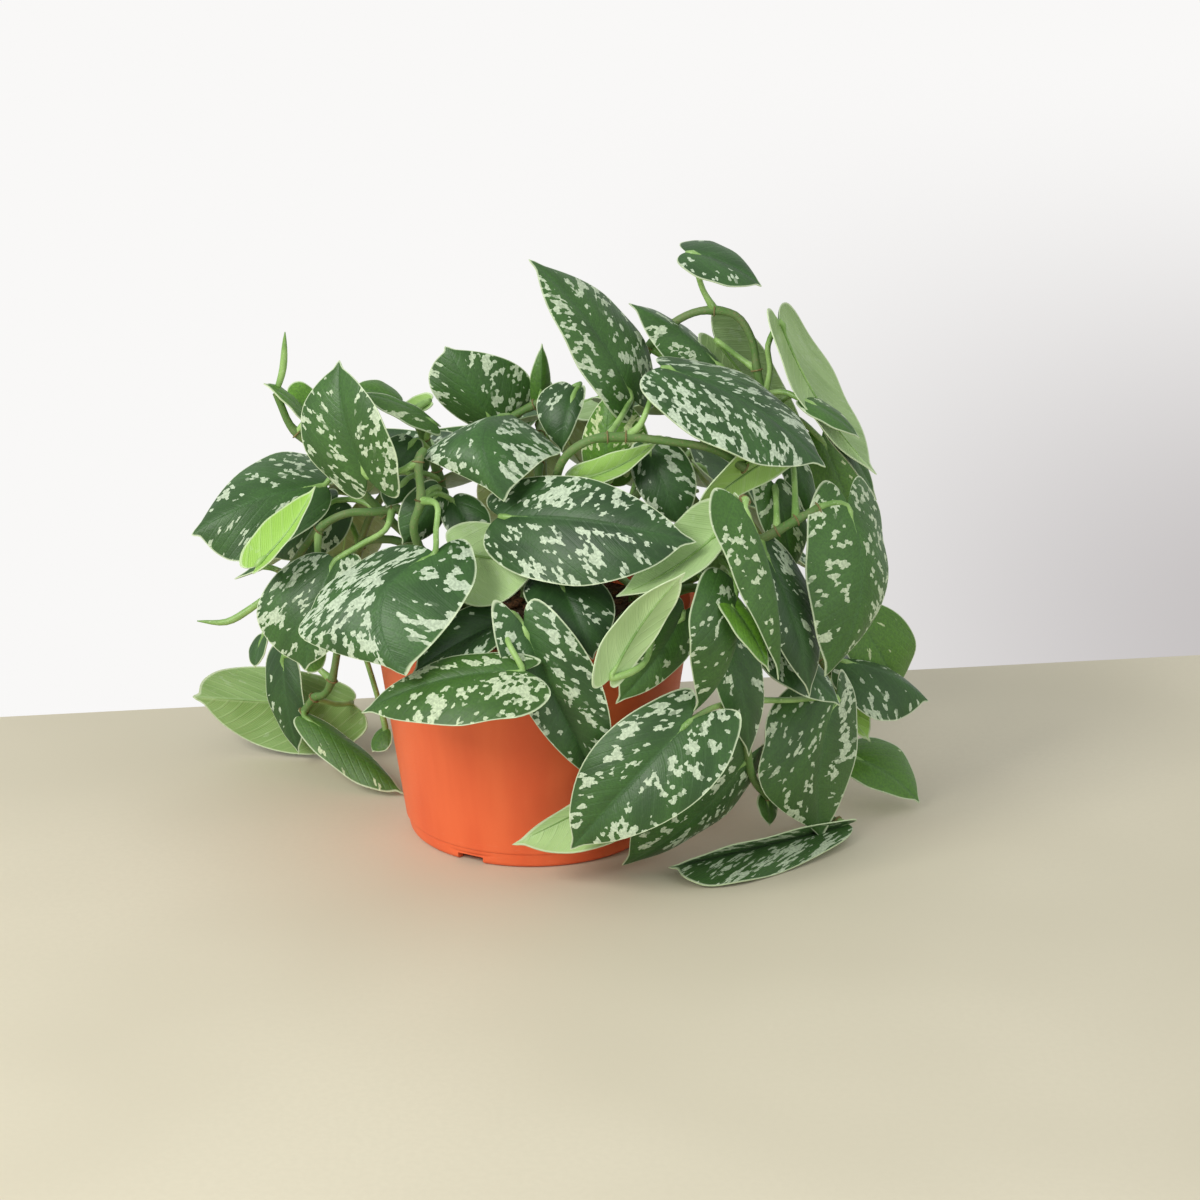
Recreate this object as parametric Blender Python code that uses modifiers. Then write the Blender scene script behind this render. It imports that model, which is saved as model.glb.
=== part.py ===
"""Potted pothos: a tapered nursery pot, its soil, and leafy vines that spill over the rim.

Metres, +Z up. The origin is the middle of the pot's underside, and the front faces -Y.
"""

import math
import random
from collections import namedtuple

import bmesh
import bpy
from mathutils import Vector

MM = 0.001

# Pot, in millimetres
POT_HEIGHT = 108.0
POT_BASE_RADIUS = 57.5
POT_TOP_RADIUS = 73.0
POT_WALL = 1.5
POT_FLOOR = 2.0
LEDGE_HEIGHT = 7.0
LEDGE_STEP = 0.7
RIM_BAND = 12.0
RIM_STEP = 1.8
CORNER_RADIUS = 2.5
DRAIN_HOLES = 6
DRAIN_HOLE_RADIUS = 3.0
RECESS_HEIGHT = 4.0
DISH_RADIUS = 40.0
FOOT_INNER = 52.0
FOOT_SLOTS = 4
FOOT_SLOT_WIDTH = 13.0
FOOT_SLOT_HEIGHT = 3.2
FOOT_SLOT_TURN = -29.0
POT_SIDES = 32

# Soil, in millimetres
SOIL_TOP = 96.0
SOIL_CROWN = 3.0
FIT_GAP = 0.3
HOLE_DEPTH = 22.0
HOLE_SIDES = 6
ROUND_SLACK = 0.4
SOIL_RINGS = 2
SOIL_SIDES = 24

# Vines, in millimetres
STEM_RADIUS = 2.3
STALK_RADIUS = 1.25
STALK_SINK = 4.5
STALK_DROP = 0.7
STEM_STEP = 19.0
BLADE_THICKNESS = 0.8
BLADE_CROWN = 0.07
STALK_ARCH = 0.12
STALK_STEP = 26.0
SHOOT_RADIUS = 1.6
LARGE_LEAF = 80.0
SMALL_LEAF = 45.0
FLAT_ANGLE = math.radians(1.0)
WELD = 0.00002

# Where a spot of the plant is seen: the view's place, tilt and focal length in pixels
VIEW_PLACE = Vector((30.8, -1391.5, 569.2))
VIEW_TILT = math.radians(18.37)
VIEW_FOCAL = 3245.6
VIEW_CENTRE = 600.0

# Half of a blade's outline, from the notch at the stalk to the tip: along the midrib, and out
# from it, as shares of the blade's length and half width
OUTLINE = (
    (0.0, 0.0), (-0.09, 0.23), (-0.11, 0.52), (-0.01, 0.81), (0.15, 0.98), (0.35, 1.0),
    (0.57, 0.88), (0.76, 0.61), (0.90, 0.26), (1.0, 0.0),
)
WIDEST = 0.28
VEIN_SWEEP = 0.16

Leaf = namedtuple(
    "Leaf", "start base tip sides bow under via lobe through",
    defaults=(0.0, False, (), 1.0, None),
)
Vine = namedtuple("Vine", "name root stem leaves shoots", defaults=((),))


def at(x, y, z):
    """A spot in millimetres."""
    return Vector((x, y, z))


def view_ray(column, row):
    """The direction in which a pixel of the 1200 pixel view is seen."""
    right = (column - VIEW_CENTRE) / VIEW_FOCAL
    up = (VIEW_CENTRE - row) / VIEW_FOCAL
    return Vector((
        right,
        math.cos(VIEW_TILT) + up * math.sin(VIEW_TILT),
        up * math.cos(VIEW_TILT) - math.sin(VIEW_TILT),
    ))


def seen(column, row, depth):
    """The spot that a pixel shows, at a depth in millimetres behind the pot's axis."""
    ray = view_ray(column, row)
    return VIEW_PLACE + ray * ((depth - VIEW_PLACE.y) / ray.y)


def laid(column, row, height):
    """The spot that a pixel shows, at a height in millimetres above the table."""
    ray = view_ray(column, row)
    return VIEW_PLACE + ray * ((height - VIEW_PLACE.z) / ray.z)


def grown(start, base, heading, length, width, drop, roll=0.0, bow=5.0):
    """A leaf of real size: its heading in degrees from +X, and how far its tip drops."""
    turn = math.radians(heading)
    out = Vector((math.cos(turn), math.sin(turn), 0.0))
    side = Vector((-out.y, out.x, 0.0))
    fall = math.asin(max(-0.95, min(0.95, drop / length)))
    along = out * math.cos(fall) - Vector((0, 0, math.sin(fall)))
    face = side.cross(along)
    lean = math.radians(roll)
    across = side * math.cos(lean) + face * math.sin(lean)
    middle = base + along * length * WIDEST
    tip = base + along * length
    sides = (middle + across * width / 2, middle - across * width / 2)
    return Leaf(start, base, tip, sides, bow, under=face.dot(VIEW_PLACE - middle) < 0)


def path_spot(points, place):
    """A spot on the smooth curve through points; place counts them from 0."""
    first = max(0, min(len(points) - 2, int(place)))
    part = place - first
    start = points[first]
    end = points[first + 1]
    before = points[first - 1] if first > 0 else start * 2 - end
    after = points[first + 2] if first + 2 < len(points) else end * 2 - start
    return 0.5 * (
        2 * start + (end - before) * part
        + (2 * before - 5 * start + 4 * end - after) * part ** 2
        + (3 * start - before - 3 * end + after) * part ** 3
    )


def smooth_path(points, step):
    """Spots along the smooth curve through points, about a step apart."""
    spots = []
    for index in range(len(points) - 1):
        count = max(1, round((points[index + 1] - points[index]).length / step))
        spots += [path_spot(points, index + part / count) for part in range(count)]
    return spots + [points[-1]]


def outline_spot(share):
    """The outline's place along the midrib and out from it, from notch (0) to tip (1)."""
    points = [Vector((along, out, 0.0)) for along, out in OUTLINE]
    spot = path_spot(points, share * (len(points) - 1))
    return spot.x, max(0.0, spot.y)


class Blade:
    """The bent surface of one leaf, from the few spots that place it."""

    def __init__(self, leaf):
        self.base = leaf.base
        self.chord = leaf.tip - leaf.base
        self.bow = leaf.bow
        self.lobe = leaf.lobe
        ahead = self.chord.normalized()
        first, second = leaf.sides
        face = (second - first).cross(self.chord).normalized()
        middle = (first + second + leaf.base + leaf.tip) / 4
        if (face.dot(VIEW_PLACE - middle) < 0) != leaf.under:
            first, second = second, first
            face = -face
        self.ahead = ahead
        self.face = (face - ahead * face.dot(ahead)).normalized()
        self.across = self.ahead.cross(self.face)
        self.swerve = 0.0
        if leaf.through:
            self.swerve = (leaf.through - leaf.base - self.chord / 2).dot(self.across)
        centre = self.midrib(WIDEST)
        normal, tangent = self.turned(WIDEST)
        self.halves = []
        for side in (first, second):
            reach = side - centre
            self.halves.append((reach.dot(self.across), reach.dot(normal), reach.dot(tangent)))

    def slope(self, along):
        return 4 * self.bow * (1 - 2 * max(0.0, along)) / self.chord.length

    def turned(self, along):
        """The blade's normal and its midrib's direction at a place along it."""
        slope = self.slope(along)
        scale = 1 / math.sqrt(1 + slope * slope)
        normal = (self.face - self.ahead * slope) * scale
        tangent = (self.ahead + self.face * slope) * scale
        return normal, tangent

    def midrib(self, along):
        bend = (self.face * self.bow + self.across * self.swerve) * 4
        return self.base + self.chord * along + bend * along * (1 - max(0.0, along))

    def spot(self, share, out):
        """A spot of the blade: share runs from notch to tip, out from -1 to 1 across it."""
        edge_along, edge_out = outline_spot(share)
        if edge_along < 0:
            edge_along *= self.lobe
        root = max(0.0, min(1.0, share * (1 + VEIN_SWEEP) - VEIN_SWEEP))
        reach = abs(out)
        along = root + (edge_along - root) * reach
        across, lift, forward = self.halves[0 if out < 0 else 1]
        normal, tangent = self.turned(along)
        width = edge_out * reach
        crown = BLADE_CROWN * abs(across) * edge_out * 4 * reach * (1 - reach)
        return (
            self.midrib(along) + self.across * across * width
            + normal * (lift * width + crown) + tangent * forward * width
        )


def tidy_objects():
    for thing in list(bpy.data.objects):
        bpy.data.objects.remove(thing, do_unlink=True)


def new_collection(name):
    group = bpy.data.collections.new(name)
    bpy.context.scene.collection.children.link(group)
    return group


def new_material(name, colour, roughness):
    material = bpy.data.materials.new(name)
    material.use_nodes = True
    shader = material.node_tree.nodes["Principled BSDF"]
    shader.inputs["Base Color"].default_value = (*colour, 1.0)
    shader.inputs["Roughness"].default_value = roughness
    shader.inputs["Metallic"].default_value = 0.0
    material.diffuse_color = (*colour, 1.0)
    return material


def add_object(name, mesh, group, material=None):
    thing = bpy.data.objects.new(name, mesh)
    group.objects.link(thing)
    if material:
        mesh.materials.clear()
        mesh.materials.append(material)
    return thing


def baked_mesh(thing):
    """The mesh that an object's modifiers or curve give."""
    graph = bpy.context.evaluated_depsgraph_get()
    graph.update()
    return bpy.data.meshes.new_from_object(thing.evaluated_get(graph))


def make_tube(name, path, radius, resolution, group):
    """A closed tube along a path in millimetres; resolution 0 gives four sides."""
    curve = bpy.data.curves.new(name, "CURVE")
    curve.dimensions = "3D"
    curve.bevel_depth = radius * MM
    curve.bevel_resolution = resolution
    curve.use_fill_caps = True
    spline = curve.splines.new("POLY")
    spline.points.add(len(path) - 1)
    for point, spot in zip(spline.points, path):
        point.co = (*(spot * MM), 1.0)
    draft = add_object(name + "_draft", curve, group)
    mesh = baked_mesh(draft)
    bpy.data.objects.remove(draft, do_unlink=True)
    weld(mesh)
    return add_object(name, mesh, group)


def weld(mesh):
    shape = bmesh.new()
    shape.from_mesh(mesh)
    bmesh.ops.remove_doubles(shape, verts=shape.verts, dist=WELD)
    bmesh.ops.recalc_face_normals(shape, faces=shape.faces)
    shape.to_mesh(mesh)
    shape.free()


def connected(start):
    """All the points that edges join to a first one."""
    found = {start}
    front = [start]
    while front:
        vert = front.pop()
        for edge in vert.link_edges:
            other = edge.other_vert(vert)
            if other not in found:
                found.add(other)
                front.append(other)
    return found


def merge_flat_faces(mesh):
    """Takes out a union's loose scraps and the needless edges it leaves in flat faces."""
    shape = bmesh.new()
    shape.from_mesh(mesh)
    body = connected(max(shape.verts, key=lambda vert: len(vert.link_faces)))
    bmesh.ops.delete(shape, geom=[v for v in shape.verts if v not in body], context="VERTS")
    bmesh.ops.dissolve_limit(
        shape, angle_limit=FLAT_ANGLE, verts=shape.verts, edges=shape.edges,
    )
    bmesh.ops.triangulate(shape, faces=shape.faces)
    shape.to_mesh(mesh)
    shape.free()


def make_blade(name, leaf, group, stations, strips):
    """A thin closed blade, its two faces split into the same triangles."""
    blade = Blade(leaf)
    shape = bmesh.new()
    bmesh.ops.create_grid(shape, x_segments=stations, y_segments=strips, size=0.5)
    for vert in shape.verts:
        vert.co = blade.spot(vert.co.x + 0.5, vert.co.y * 2) * MM
    bmesh.ops.remove_doubles(shape, verts=shape.verts, dist=WELD)
    bmesh.ops.triangulate(shape, faces=shape.faces)
    mesh = bpy.data.meshes.new(name)
    shape.to_mesh(mesh)
    shape.free()
    draft = add_object(name + "_draft", mesh, group)
    wall = draft.modifiers.new("thickness", "SOLIDIFY")
    wall.thickness = BLADE_THICKNESS * MM
    wall.offset = 0.0
    solid = baked_mesh(draft)
    bpy.data.objects.remove(draft, do_unlink=True)
    return add_object(name, solid, group)


def root_path(root):
    """The stretch of a stem that stands in its hole in the soil."""
    x, y = root
    return [at(x, y, SOIL_TOP - HOLE_DEPTH), at(x, y, SOIL_TOP + 4), at(x, y, SOIL_TOP + 9)]


def stalk_path(vine, leaf):
    """A leaf stalk, from inside the stem to a little way along the blade's lower face."""
    stem = root_path(vine.root) + list(vine.stem)
    start = path_spot(stem, leaf.start + 3)
    blade = Blade(leaf)
    below = blade.turned(0.0)[0] * STALK_RADIUS * STALK_DROP
    joint = leaf.base - below
    sunk = blade.midrib(STALK_SINK / blade.chord.length) - below
    via = list(leaf.via)
    if not via:
        reach = leaf.base - start
        via = [start + reach * 0.5 + Vector((0, 0, STALK_ARCH * reach.length))]
    path = smooth_path([start] + via + [joint], STALK_STEP)
    return path + [sunk]


def make_vine(vine, group, material):
    """One leafy stem: its stalks, blades and shoots joined to it as one body."""
    parts = new_collection(vine.name + "_parts")
    for index, leaf in enumerate(vine.leaves):
        size = (leaf.tip - leaf.base).length
        stations, strips = (4, 2) if size < SMALL_LEAF else (5, 2)
        if size > LARGE_LEAF:
            stations, strips = (6, 4)
        make_blade(f"blade_{index}", leaf, parts, stations, strips)
        make_tube(f"stalk_{index}", stalk_path(vine, leaf), STALK_RADIUS, 0, parts)
    for index, shoot in enumerate(vine.shoots):
        make_tube(f"shoot_{index}", smooth_path(shoot, STEM_STEP), SHOOT_RADIUS, 0, parts)
    stem = make_tube(
        vine.name, smooth_path(root_path(vine.root) + list(vine.stem), STEM_STEP),
        STEM_RADIUS, 0, group,
    )
    union = stem.modifiers.new("joined", "BOOLEAN")
    union.operation = "UNION"
    union.operand_type = "COLLECTION"
    union.collection = parts
    union.solver = "MANIFOLD"
    joined = baked_mesh(stem)
    bpy.data.objects.remove(stem, do_unlink=True)
    for piece in list(parts.objects):
        bpy.data.objects.remove(piece, do_unlink=True)
    bpy.data.collections.remove(parts)
    merge_flat_faces(joined)
    return add_object(vine.name, joined, group, material)


# The vines. A leaf's start counts the stem's spots from 0; base and tip are its midrib's ends,
# and sides its two margins where it is widest. A leaf marked under shows its lower face.

VINE_TOP_RIGHT = Vine(
    "vine_top_right", (22, 18),
    (
        seen(598, 520, 20), seen(625, 420, 24), seen(645, 355, 24), seen(668, 327, 22),
        seen(700, 311, 20), seen(735, 315, 18), seen(752, 340, 16), seen(757, 370, 14),
        seen(763, 395, 12), seen(768, 415, 10),
    ),
    (
        Leaf(4.4, seen(688, 252, 12), seen(762, 286, 4), (seen(712, 242, 24), seen(706, 280, -6)),
             3, via=(seen(703, 290, 18), seen(697, 272, 16))),
        Leaf(7, seen(715, 340, 24), seen(812, 442, 32), (seen(752, 334, 40), seen(722, 384, 20)),
             4, under=True, via=(seen(740, 358, 20),)),
        Leaf(8.2, seen(779, 322, 12), seen(876, 475, 2), (seen(792, 385, -4), seen(830, 368, 40)),
             5, under=True, via=(seen(770, 370, 12), seen(768, 345, 12))),
        Leaf(8, seen(805, 400, 2), seen(860, 438, -2), (seen(824, 402, 10), seen(818, 420, -8)),
             2),
        Leaf(9, seen(806, 393, 26), seen(877, 500, 16), (seen(838, 415, 30), seen(824, 432, 12)),
             3),
        Leaf(9, seen(822, 440, 34), seen(860, 560, 44), (seen(868, 472, 50), seen(812, 490, 28)),
             4),
        Leaf(2.2, seen(724, 370, 16), seen(629, 303, 14), (seen(688, 330, 30), seen(680, 375, 8)),
             4, via=(seen(690, 372, 20),)),
        grown(1.3, at(44, 46, 184), 68, 56, 44, 6),
    ),
)

VINE_FRONT_TOP = Vine(
    "vine_front_top", (8, -22),
    (
        seen(548, 560, -20), seen(552, 505, -22), seen(562, 462, -36), seen(588, 441, -40),
        seen(622, 437, -40), seen(665, 441, -40), seen(712, 449, -38), seen(745, 468, -34),
    ),
    (
        Leaf(4.1, seen(663, 367, -18), seen(826, 467, -34), (seen(708, 443, -54), seen(752, 380, 0)),
             7, via=(seen(640, 425, -38), seen(650, 402, -32))),
        Leaf(3.6, seen(632, 398, -12), seen(529, 259, 2), (seen(640, 336, 16), seen(580, 368, -24)),
             6, via=(seen(618, 422, -30),)),
        Leaf(7, seen(790, 448, -22), seen(688, 522, -48), (seen(748, 449, -38), seen(772, 479, -26)),
             4, under=True),
    ),
)

VINE_LEFT_FRONT = Vine(
    "vine_left_front", (-24, -20),
    (
        seen(436, 580, -34), seen(414, 532, -44), seen(421, 500, -44), seen(418, 462, -42),
        seen(424, 450, -38),
    ),
    (
        Leaf(3, seen(367, 478, -38), seen(339, 360, -24), (seen(303, 440, -26), seen(390, 438, -50)),
             6, via=(seen(400, 471, -42), seen(384, 473, -40)), lobe=1.8),
        Leaf(2, seen(434, 553, -60), seen(406, 676, -94), (seen(314, 608, -66), seen(473, 584, -72)),
             7, via=(seen(437, 505, -52), seen(436, 530, -58)), lobe=1.5,
             through=seen(380, 630, -76)),
        Leaf(2, seen(440, 488, -30), seen(402, 545, -34), (seen(404, 500, -30), seen(440, 525, -24)),
             2),
        Leaf(2, seen(452, 500, -22), seen(484, 546, -34), (seen(486, 508, -26), seen(447, 530, -30)),
             2),
    ),
)

VINE_FAR_LEFT = Vine(
    "vine_far_left", (-30, 8),
    (
        seen(432, 560, 0), seen(385, 515, -2), seen(340, 470, -2), seen(305, 440, -6),
        seen(290, 425, -6), seen(281, 405, -6), seen(276, 393, -6),
    ),
    (
        Leaf(3.4, seen(308, 420, -8), seen(264, 383, -12), (seen(290, 394, -2), seen(294, 412, -16)),
             2),
        Leaf(2.6, seen(326, 425, 2), seen(284, 395, 4), (seen(306, 384, 10), seen(300, 414, -2)),
             2),
        Leaf(2, seen(325, 484, -4), seen(191, 535, -20), (seen(278, 454, 18), seen(262, 556, -26)),
             7),
        Leaf(1, seen(336, 500, 10), seen(270, 560, 10), (seen(296, 505, 22), seen(334, 548, 4)),
             3),
    ),
    ((seen(276, 393, -6), seen(283, 368, -6), seen(285, 332, -6)),),
)

VINE_LEFT = Vine(
    "vine_left", (-36, -6),
    (
        seen(425, 560, -14), seen(403, 512, -20), seen(376, 512, -18), seen(345, 514, -12),
        seen(318, 530, -12), seen(292, 565, -10), seen(272, 592, -10),
    ),
    (
        Leaf(1.4, seen(335, 560, -34), seen(305, 671, -48), (seen(259, 604, -34), seen(358, 606, -50)),
             6, via=(seen(385, 530, -30), seen(360, 545, -34))),
        Leaf(5.3, seen(258, 566, -42), seen(316, 486, -36), (seen(257, 530, -36), seen(284, 546, -50)),
             3, under=True, via=(seen(272, 568, -32),)),
        Leaf(4, seen(318, 640, -26), seen(308, 674, -30), (seen(302, 652, -24), seen(325, 662, -30)),
             1),
        Leaf(6, seen(263, 636, -12), seen(254, 668, -16), (seen(250, 648, -10), seen(265, 652, -20)),
             1),
    ),
    ((seen(272, 592, -10), seen(250, 609, -10), seen(226, 622, -10), seen(197, 621, -10)),),
)

VINE_LOW_LEFT = Vine(
    "vine_low_left", (-40, 20),
    (
        at(-52, 28, 120), at(-68, 38, 124), at(-84, 46, 112), seen(332, 680, 54),
        seen(314, 698, 60), seen(304, 712, 62),
    ),
    (
        Leaf(4, seen(352, 703, 76), seen(192, 697, 86), (seen(262, 667, 102), seen(302, 754, 78)),
             5, under=True, via=(seen(336, 704, 68),)),
        Leaf(3, seen(283, 656, 74), seen(299, 754, 66), (seen(266, 684, 80), seen(303, 692, 66)),
             3),
        Leaf(5, seen(304, 716, 58), seen(404, 794, 27), (seen(346, 736, 52), seen(334, 768, 36)),
             3),
        Leaf(2.4, seen(385, 728, 34), seen(372, 752, 28), (seen(374, 736, 36), seen(390, 746, 26)),
             1),
    ),
)

VINE_FRONT_LEFT = Vine(
    "vine_front_left", (-14, -36),
    (
        seen(478, 596, -46), seen(490, 604, -50), seen(500, 613, -54),
    ),
    (
        Leaf(2, seen(523, 670, -90), seen(361, 713, -80), (seen(464, 655, -80), seen(484, 723, -112)),
             8, via=(seen(503, 626, -68), seen(510, 646, -84))),
        Leaf(2, seen(524, 628, -76), seen(601, 788, -78), (seen(508, 676, -86), seen(596, 672, -86)),
             6, via=(seen(514, 614, -66),), lobe=1.3),
        Leaf(1, seen(503, 622, -58), seen(412, 674, -76), (seen(456, 612, -58), seen(470, 664, -84)),
             3),
        Leaf(0, seen(455, 552, -44), seen(545, 558, -56), (seen(488, 523, -34), seen(478, 606, -60)),
             5, under=True),
    ),
)

VINE_CENTRE = Vine(
    "vine_centre", (0, -4),
    (
        seen(530, 560, -14), seen(520, 505, -12), seen(512, 450, -10), seen(508, 424, -10),
    ),
    (
        Leaf(1, seen(500, 516, -44), seen(697, 542, -72), (seen(566, 476, -42), seen(560, 584, -74)),
             8, via=(seen(508, 510, -30),)),
        Leaf(3, seen(508, 414, -12), seen(504, 502, -52), (seen(428, 452, -28), seen(560, 452, -26)),
             14, lobe=1.2, through=seen(480, 462, -36)),
        Leaf(0.6, seen(560, 582, -56), seen(593, 660, -76), (seen(526, 600, -62), seen(612, 598, -62)),
             5),
    ),
)

VINE_TOP_CENTRE = Vine(
    "vine_top_centre", (-4, 24),
    (
        seen(505, 540, 24), seen(500, 470, 22), seen(496, 432, 18), seen(520, 412, 16),
        seen(560, 395, 12),
    ),
    (
        Leaf(2, seen(493, 423, 14), seen(445, 346, 18), (seen(434, 394, 16), seen(528, 376, 22)),
             4),
        Leaf(3.4, seen(540, 402, 20), seen(542, 343, 24), (seen(529, 386, 22), seen(550, 386, 24)),
             2),
        Leaf(4, seen(575, 391, 6), seen(562, 453, -4), (seen(538, 400, 8), seen(582, 408, 0)),
             4, via=(seen(580, 384, 10),)),
        grown(1.5, at(-11, 41, 179), 98, 50, 42, 1),
    ),
)

VINE_UPPER_LEFT = Vine(
    "vine_upper_left", (-20, 10),
    (
        seen(455, 540, 6), seen(440, 480, 2), seen(425, 440, 0), seen(412, 415, -2),
    ),
    (
        Leaf(3, seen(400, 402, 0), seen(352, 388, -6), (seen(382, 382, 6), seen(380, 402, -8)), 2),
        Leaf(2, seen(436, 424, -8), seen(357, 392, -18), (seen(410, 404, -8), seen(408, 424, -22)),
             3),
        Leaf(3, seen(430, 402, 6), seen(398, 408, 2), (seen(420, 394, 10), seen(420, 412, 0)), 1,
             under=True),
        Leaf(1.6, seen(414, 440, -10), seen(392, 474, -20), (seen(384, 444, -14), seen(420, 456, -14)),
             2),
        Leaf(1, seen(408, 478, -14), seen(386, 508, -22), (seen(383, 486, -16), seen(414, 494, -16)),
             2),
        grown(1.2, at(-46, 30, 172), 122, 54, 42, 4),
    ),
)

VINE_CENTRE_RIGHT = Vine(
    "vine_centre_right", (24, -12),
    (
        seen(598, 560, -14), seen(606, 515, -20), seen(606, 484, -20),
    ),
    (
        Leaf(2, seen(580, 481, -27), seen(660, 440, -34), (seen(596, 458, -18), seen(606, 482, -38)),
             3, under=True),
        Leaf(2, seen(605, 481, -16), seen(612, 387, -8), (seen(582, 446, -8), seen(648, 444, -14)),
             4),
        Leaf(2, seen(646, 445, -20), seen(682, 528, -34), (seen(692, 466, -26), seen(636, 486, -28)),
             4),
        Leaf(0, seen(610, 678, -104), seen(685, 572, -96), (seen(606, 636, -106), seen(656, 636, -94)),
             4, under=True, via=(seen(648, 606, -56), seen(646, 660, -92))),
        Leaf(0, seen(684, 612, -66), seen(616, 704, -86), (seen(640, 628, -80), seen(690, 652, -70)),
             4, via=(seen(640, 590, -50),)),
    ),
)

VINE_FRONT_RIGHT = Vine(
    "vine_front_right", (38, -26),
    (
        seen(680, 572, -44), seen(715, 535, -50), seen(736, 510, -60), seen(745, 500, -64),
    ),
    (
        Leaf(3, seen(746, 507, -68), seen(779, 680, -86), (seen(722, 550, -84), seen(759, 560, -66)),
             7),
        Leaf(1, seen(728, 600, -80), seen(770, 672, -88), (seen(750, 612, -78), seen(732, 628, -92)),
             2, via=(seen(724, 570, -62),)),
        Leaf(0.6, seen(735, 583, -74), seen(694, 712, -86), (seen(690, 624, -96), seen(722, 618, -76)),
             10),
        Leaf(0.8, seen(735, 562, -64), seen(704, 588, -72), (seen(712, 560, -62), seen(732, 588, -76)),
             2, under=True),
        Leaf(1.2, seen(722, 530, -60), seen(616, 597, -80), (seen(684, 514, -58), seen(696, 574, -82)),
             6, under=True),
        Leaf(0.2, seen(722, 620, -66), seen(749, 757, -70), (seen(708, 664, -72), seen(760, 660, -60)),
             6),
    ),
)

VINE_RIGHT = Vine(
    "vine_right", (48, 0),
    (
        seen(700, 575, -14), seen(735, 553, -28), seen(760, 540, -36), seen(777, 531, -38),
        seen(796, 520, -36), seen(818, 508, -32),
    ),
    (
        Leaf(5, seen(848, 505, -28), seen(825, 677, -52), (seen(806, 550, -44), seen(883, 538, -14)),
             7, lobe=1.2, through=seen(846, 595, -34)),
        Leaf(2, seen(765, 550, -42), seen(810, 697, -54), (seen(754, 596, -54), seen(812, 596, -36)),
             5),
        Leaf(4, seen(792, 452, -6), seen(812, 520, -12), (seen(782, 474, -8), seen(812, 476, -2)),
             2),
        Leaf(3, seen(775, 485, -16), seen(787, 578, -28), (seen(756, 508, -27), seen(806, 520, -16)),
             4),
        Leaf(1, seen(768, 640, -34), seen(841, 706, -40), (seen(802, 648, -26), seen(776, 680, -48)),
             3),
    ),
)

VINE_LOW_RIGHT = Vine(
    "vine_low_right", (54, -22),
    (
        at(66, -32, 122), at(80, -42, 124), at(94, -52, 108), seen(742, 700, -60),
        seen(746, 740, -56), seen(752, 775, -48), seen(768, 795, -36), laid(800, 808, 6),
        laid(838, 822, 6),
    ),
    (
        Leaf(3, seen(837, 697, -16), seen(822, 838, -30), (seen(765, 742, -46), seen(857, 714, -8)),
             6, via=(seen(790, 700, -40),), through=seen(816, 768, -34)),
        Leaf(3.4, seen(748, 757, -52), seen(622, 866, -62), (seen(672, 752, -76), seen(738, 800, -40)),
             6),
        Leaf(3, seen(690, 721, -88), seen(570, 850, -94), (seen(602, 738, -90), seen(708, 790, -104)),
             9, via=(seen(712, 708, -74),), lobe=1.5),
        Leaf(2.4, seen(650, 770, -74), seen(512, 845, -80), (seen(590, 792, -72), seen(620, 838, -88)),
             4, under=True, via=(seen(700, 750, -66),)),
        Leaf(8, laid(847, 824, 6), laid(669, 867, 5), (laid(770, 836, 12), laid(752, 880, 1.2)),
             -1),
        Leaf(6, seen(766, 796, -36), seen(770, 826, -34), (seen(758, 808, -40), seen(777, 808, -30)),
             1),
    ),
)

VINE_RIGHT_BACK = Vine(
    "vine_right_back", (46, 24),
    (
        at(58, 32, 120), at(82, 42, 122), at(98, 46, 104), seen(822, 660, 24), seen(828, 700, 20),
        seen(834, 742, 18),
    ),
    (
        Leaf(2, seen(848, 610, 32), seen(895, 694, 36), (seen(912, 632, 46), seen(850, 660, 22)),
             6),
        Leaf(3, seen(840, 660, 18), seen(929, 701, 24), (seen(876, 662, 36), seen(874, 718, 4)),
             5),
        Leaf(3.4, seen(832, 680, 14), seen(870, 742, 12), (seen(862, 692, 22), seen(842, 716, 10)),
             3, under=True),
        Leaf(5, seen(852, 756, 16), seen(920, 803, 12), (seen(892, 744, 32), seen(862, 784, 4)),
             4),
    ),
)

FRONT_VINES = (
    VINE_TOP_RIGHT, VINE_FRONT_TOP, VINE_LEFT_FRONT, VINE_FAR_LEFT, VINE_LEFT, VINE_LOW_LEFT,
    VINE_FRONT_LEFT, VINE_CENTRE, VINE_TOP_CENTRE, VINE_UPPER_LEFT, VINE_CENTRE_RIGHT,
    VINE_FRONT_RIGHT, VINE_RIGHT, VINE_LOW_RIGHT, VINE_RIGHT_BACK,
)

# A back vine's stem: how far out from its root, and how high. Each leaf has its place on the
# stem, its swing from the stem's heading and its tip's drop.
BACK_STEM = ((8, 120), (26, 140), (48, 142), (68, 122), (80, 94), (84, 64))
BACK_STALK = 20.0
BACK_LENGTH = 62.0
BACK_BOW = 7.0
BACK_VINES = (
    ("vine_back_left", (-26, 30), 138, 4, (
        (0.7, -34, 12), (1.4, 38, 24), (2.1, -26, 32), (2.9, 36, 44), (3.7, -26, 48), (4.7, -14, 50),
    ), 3),
    ("vine_back", (2, 44), 89, 22, (
        (0.5, 44, 6), (1.2, -42, 14), (2.0, 30, 30), (2.8, -28, 42), (3.6, 26, 48), (4.7, -16, 50),
    ), 5),
    ("vine_back_right", (30, 34), 44, 2, (
        (0.7, 34, 12), (1.4, -38, 22), (2.1, 26, 30), (2.9, -40, 42), (3.7, 26, 48), (4.7, -14, 50),
    ), 8),
)


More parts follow.
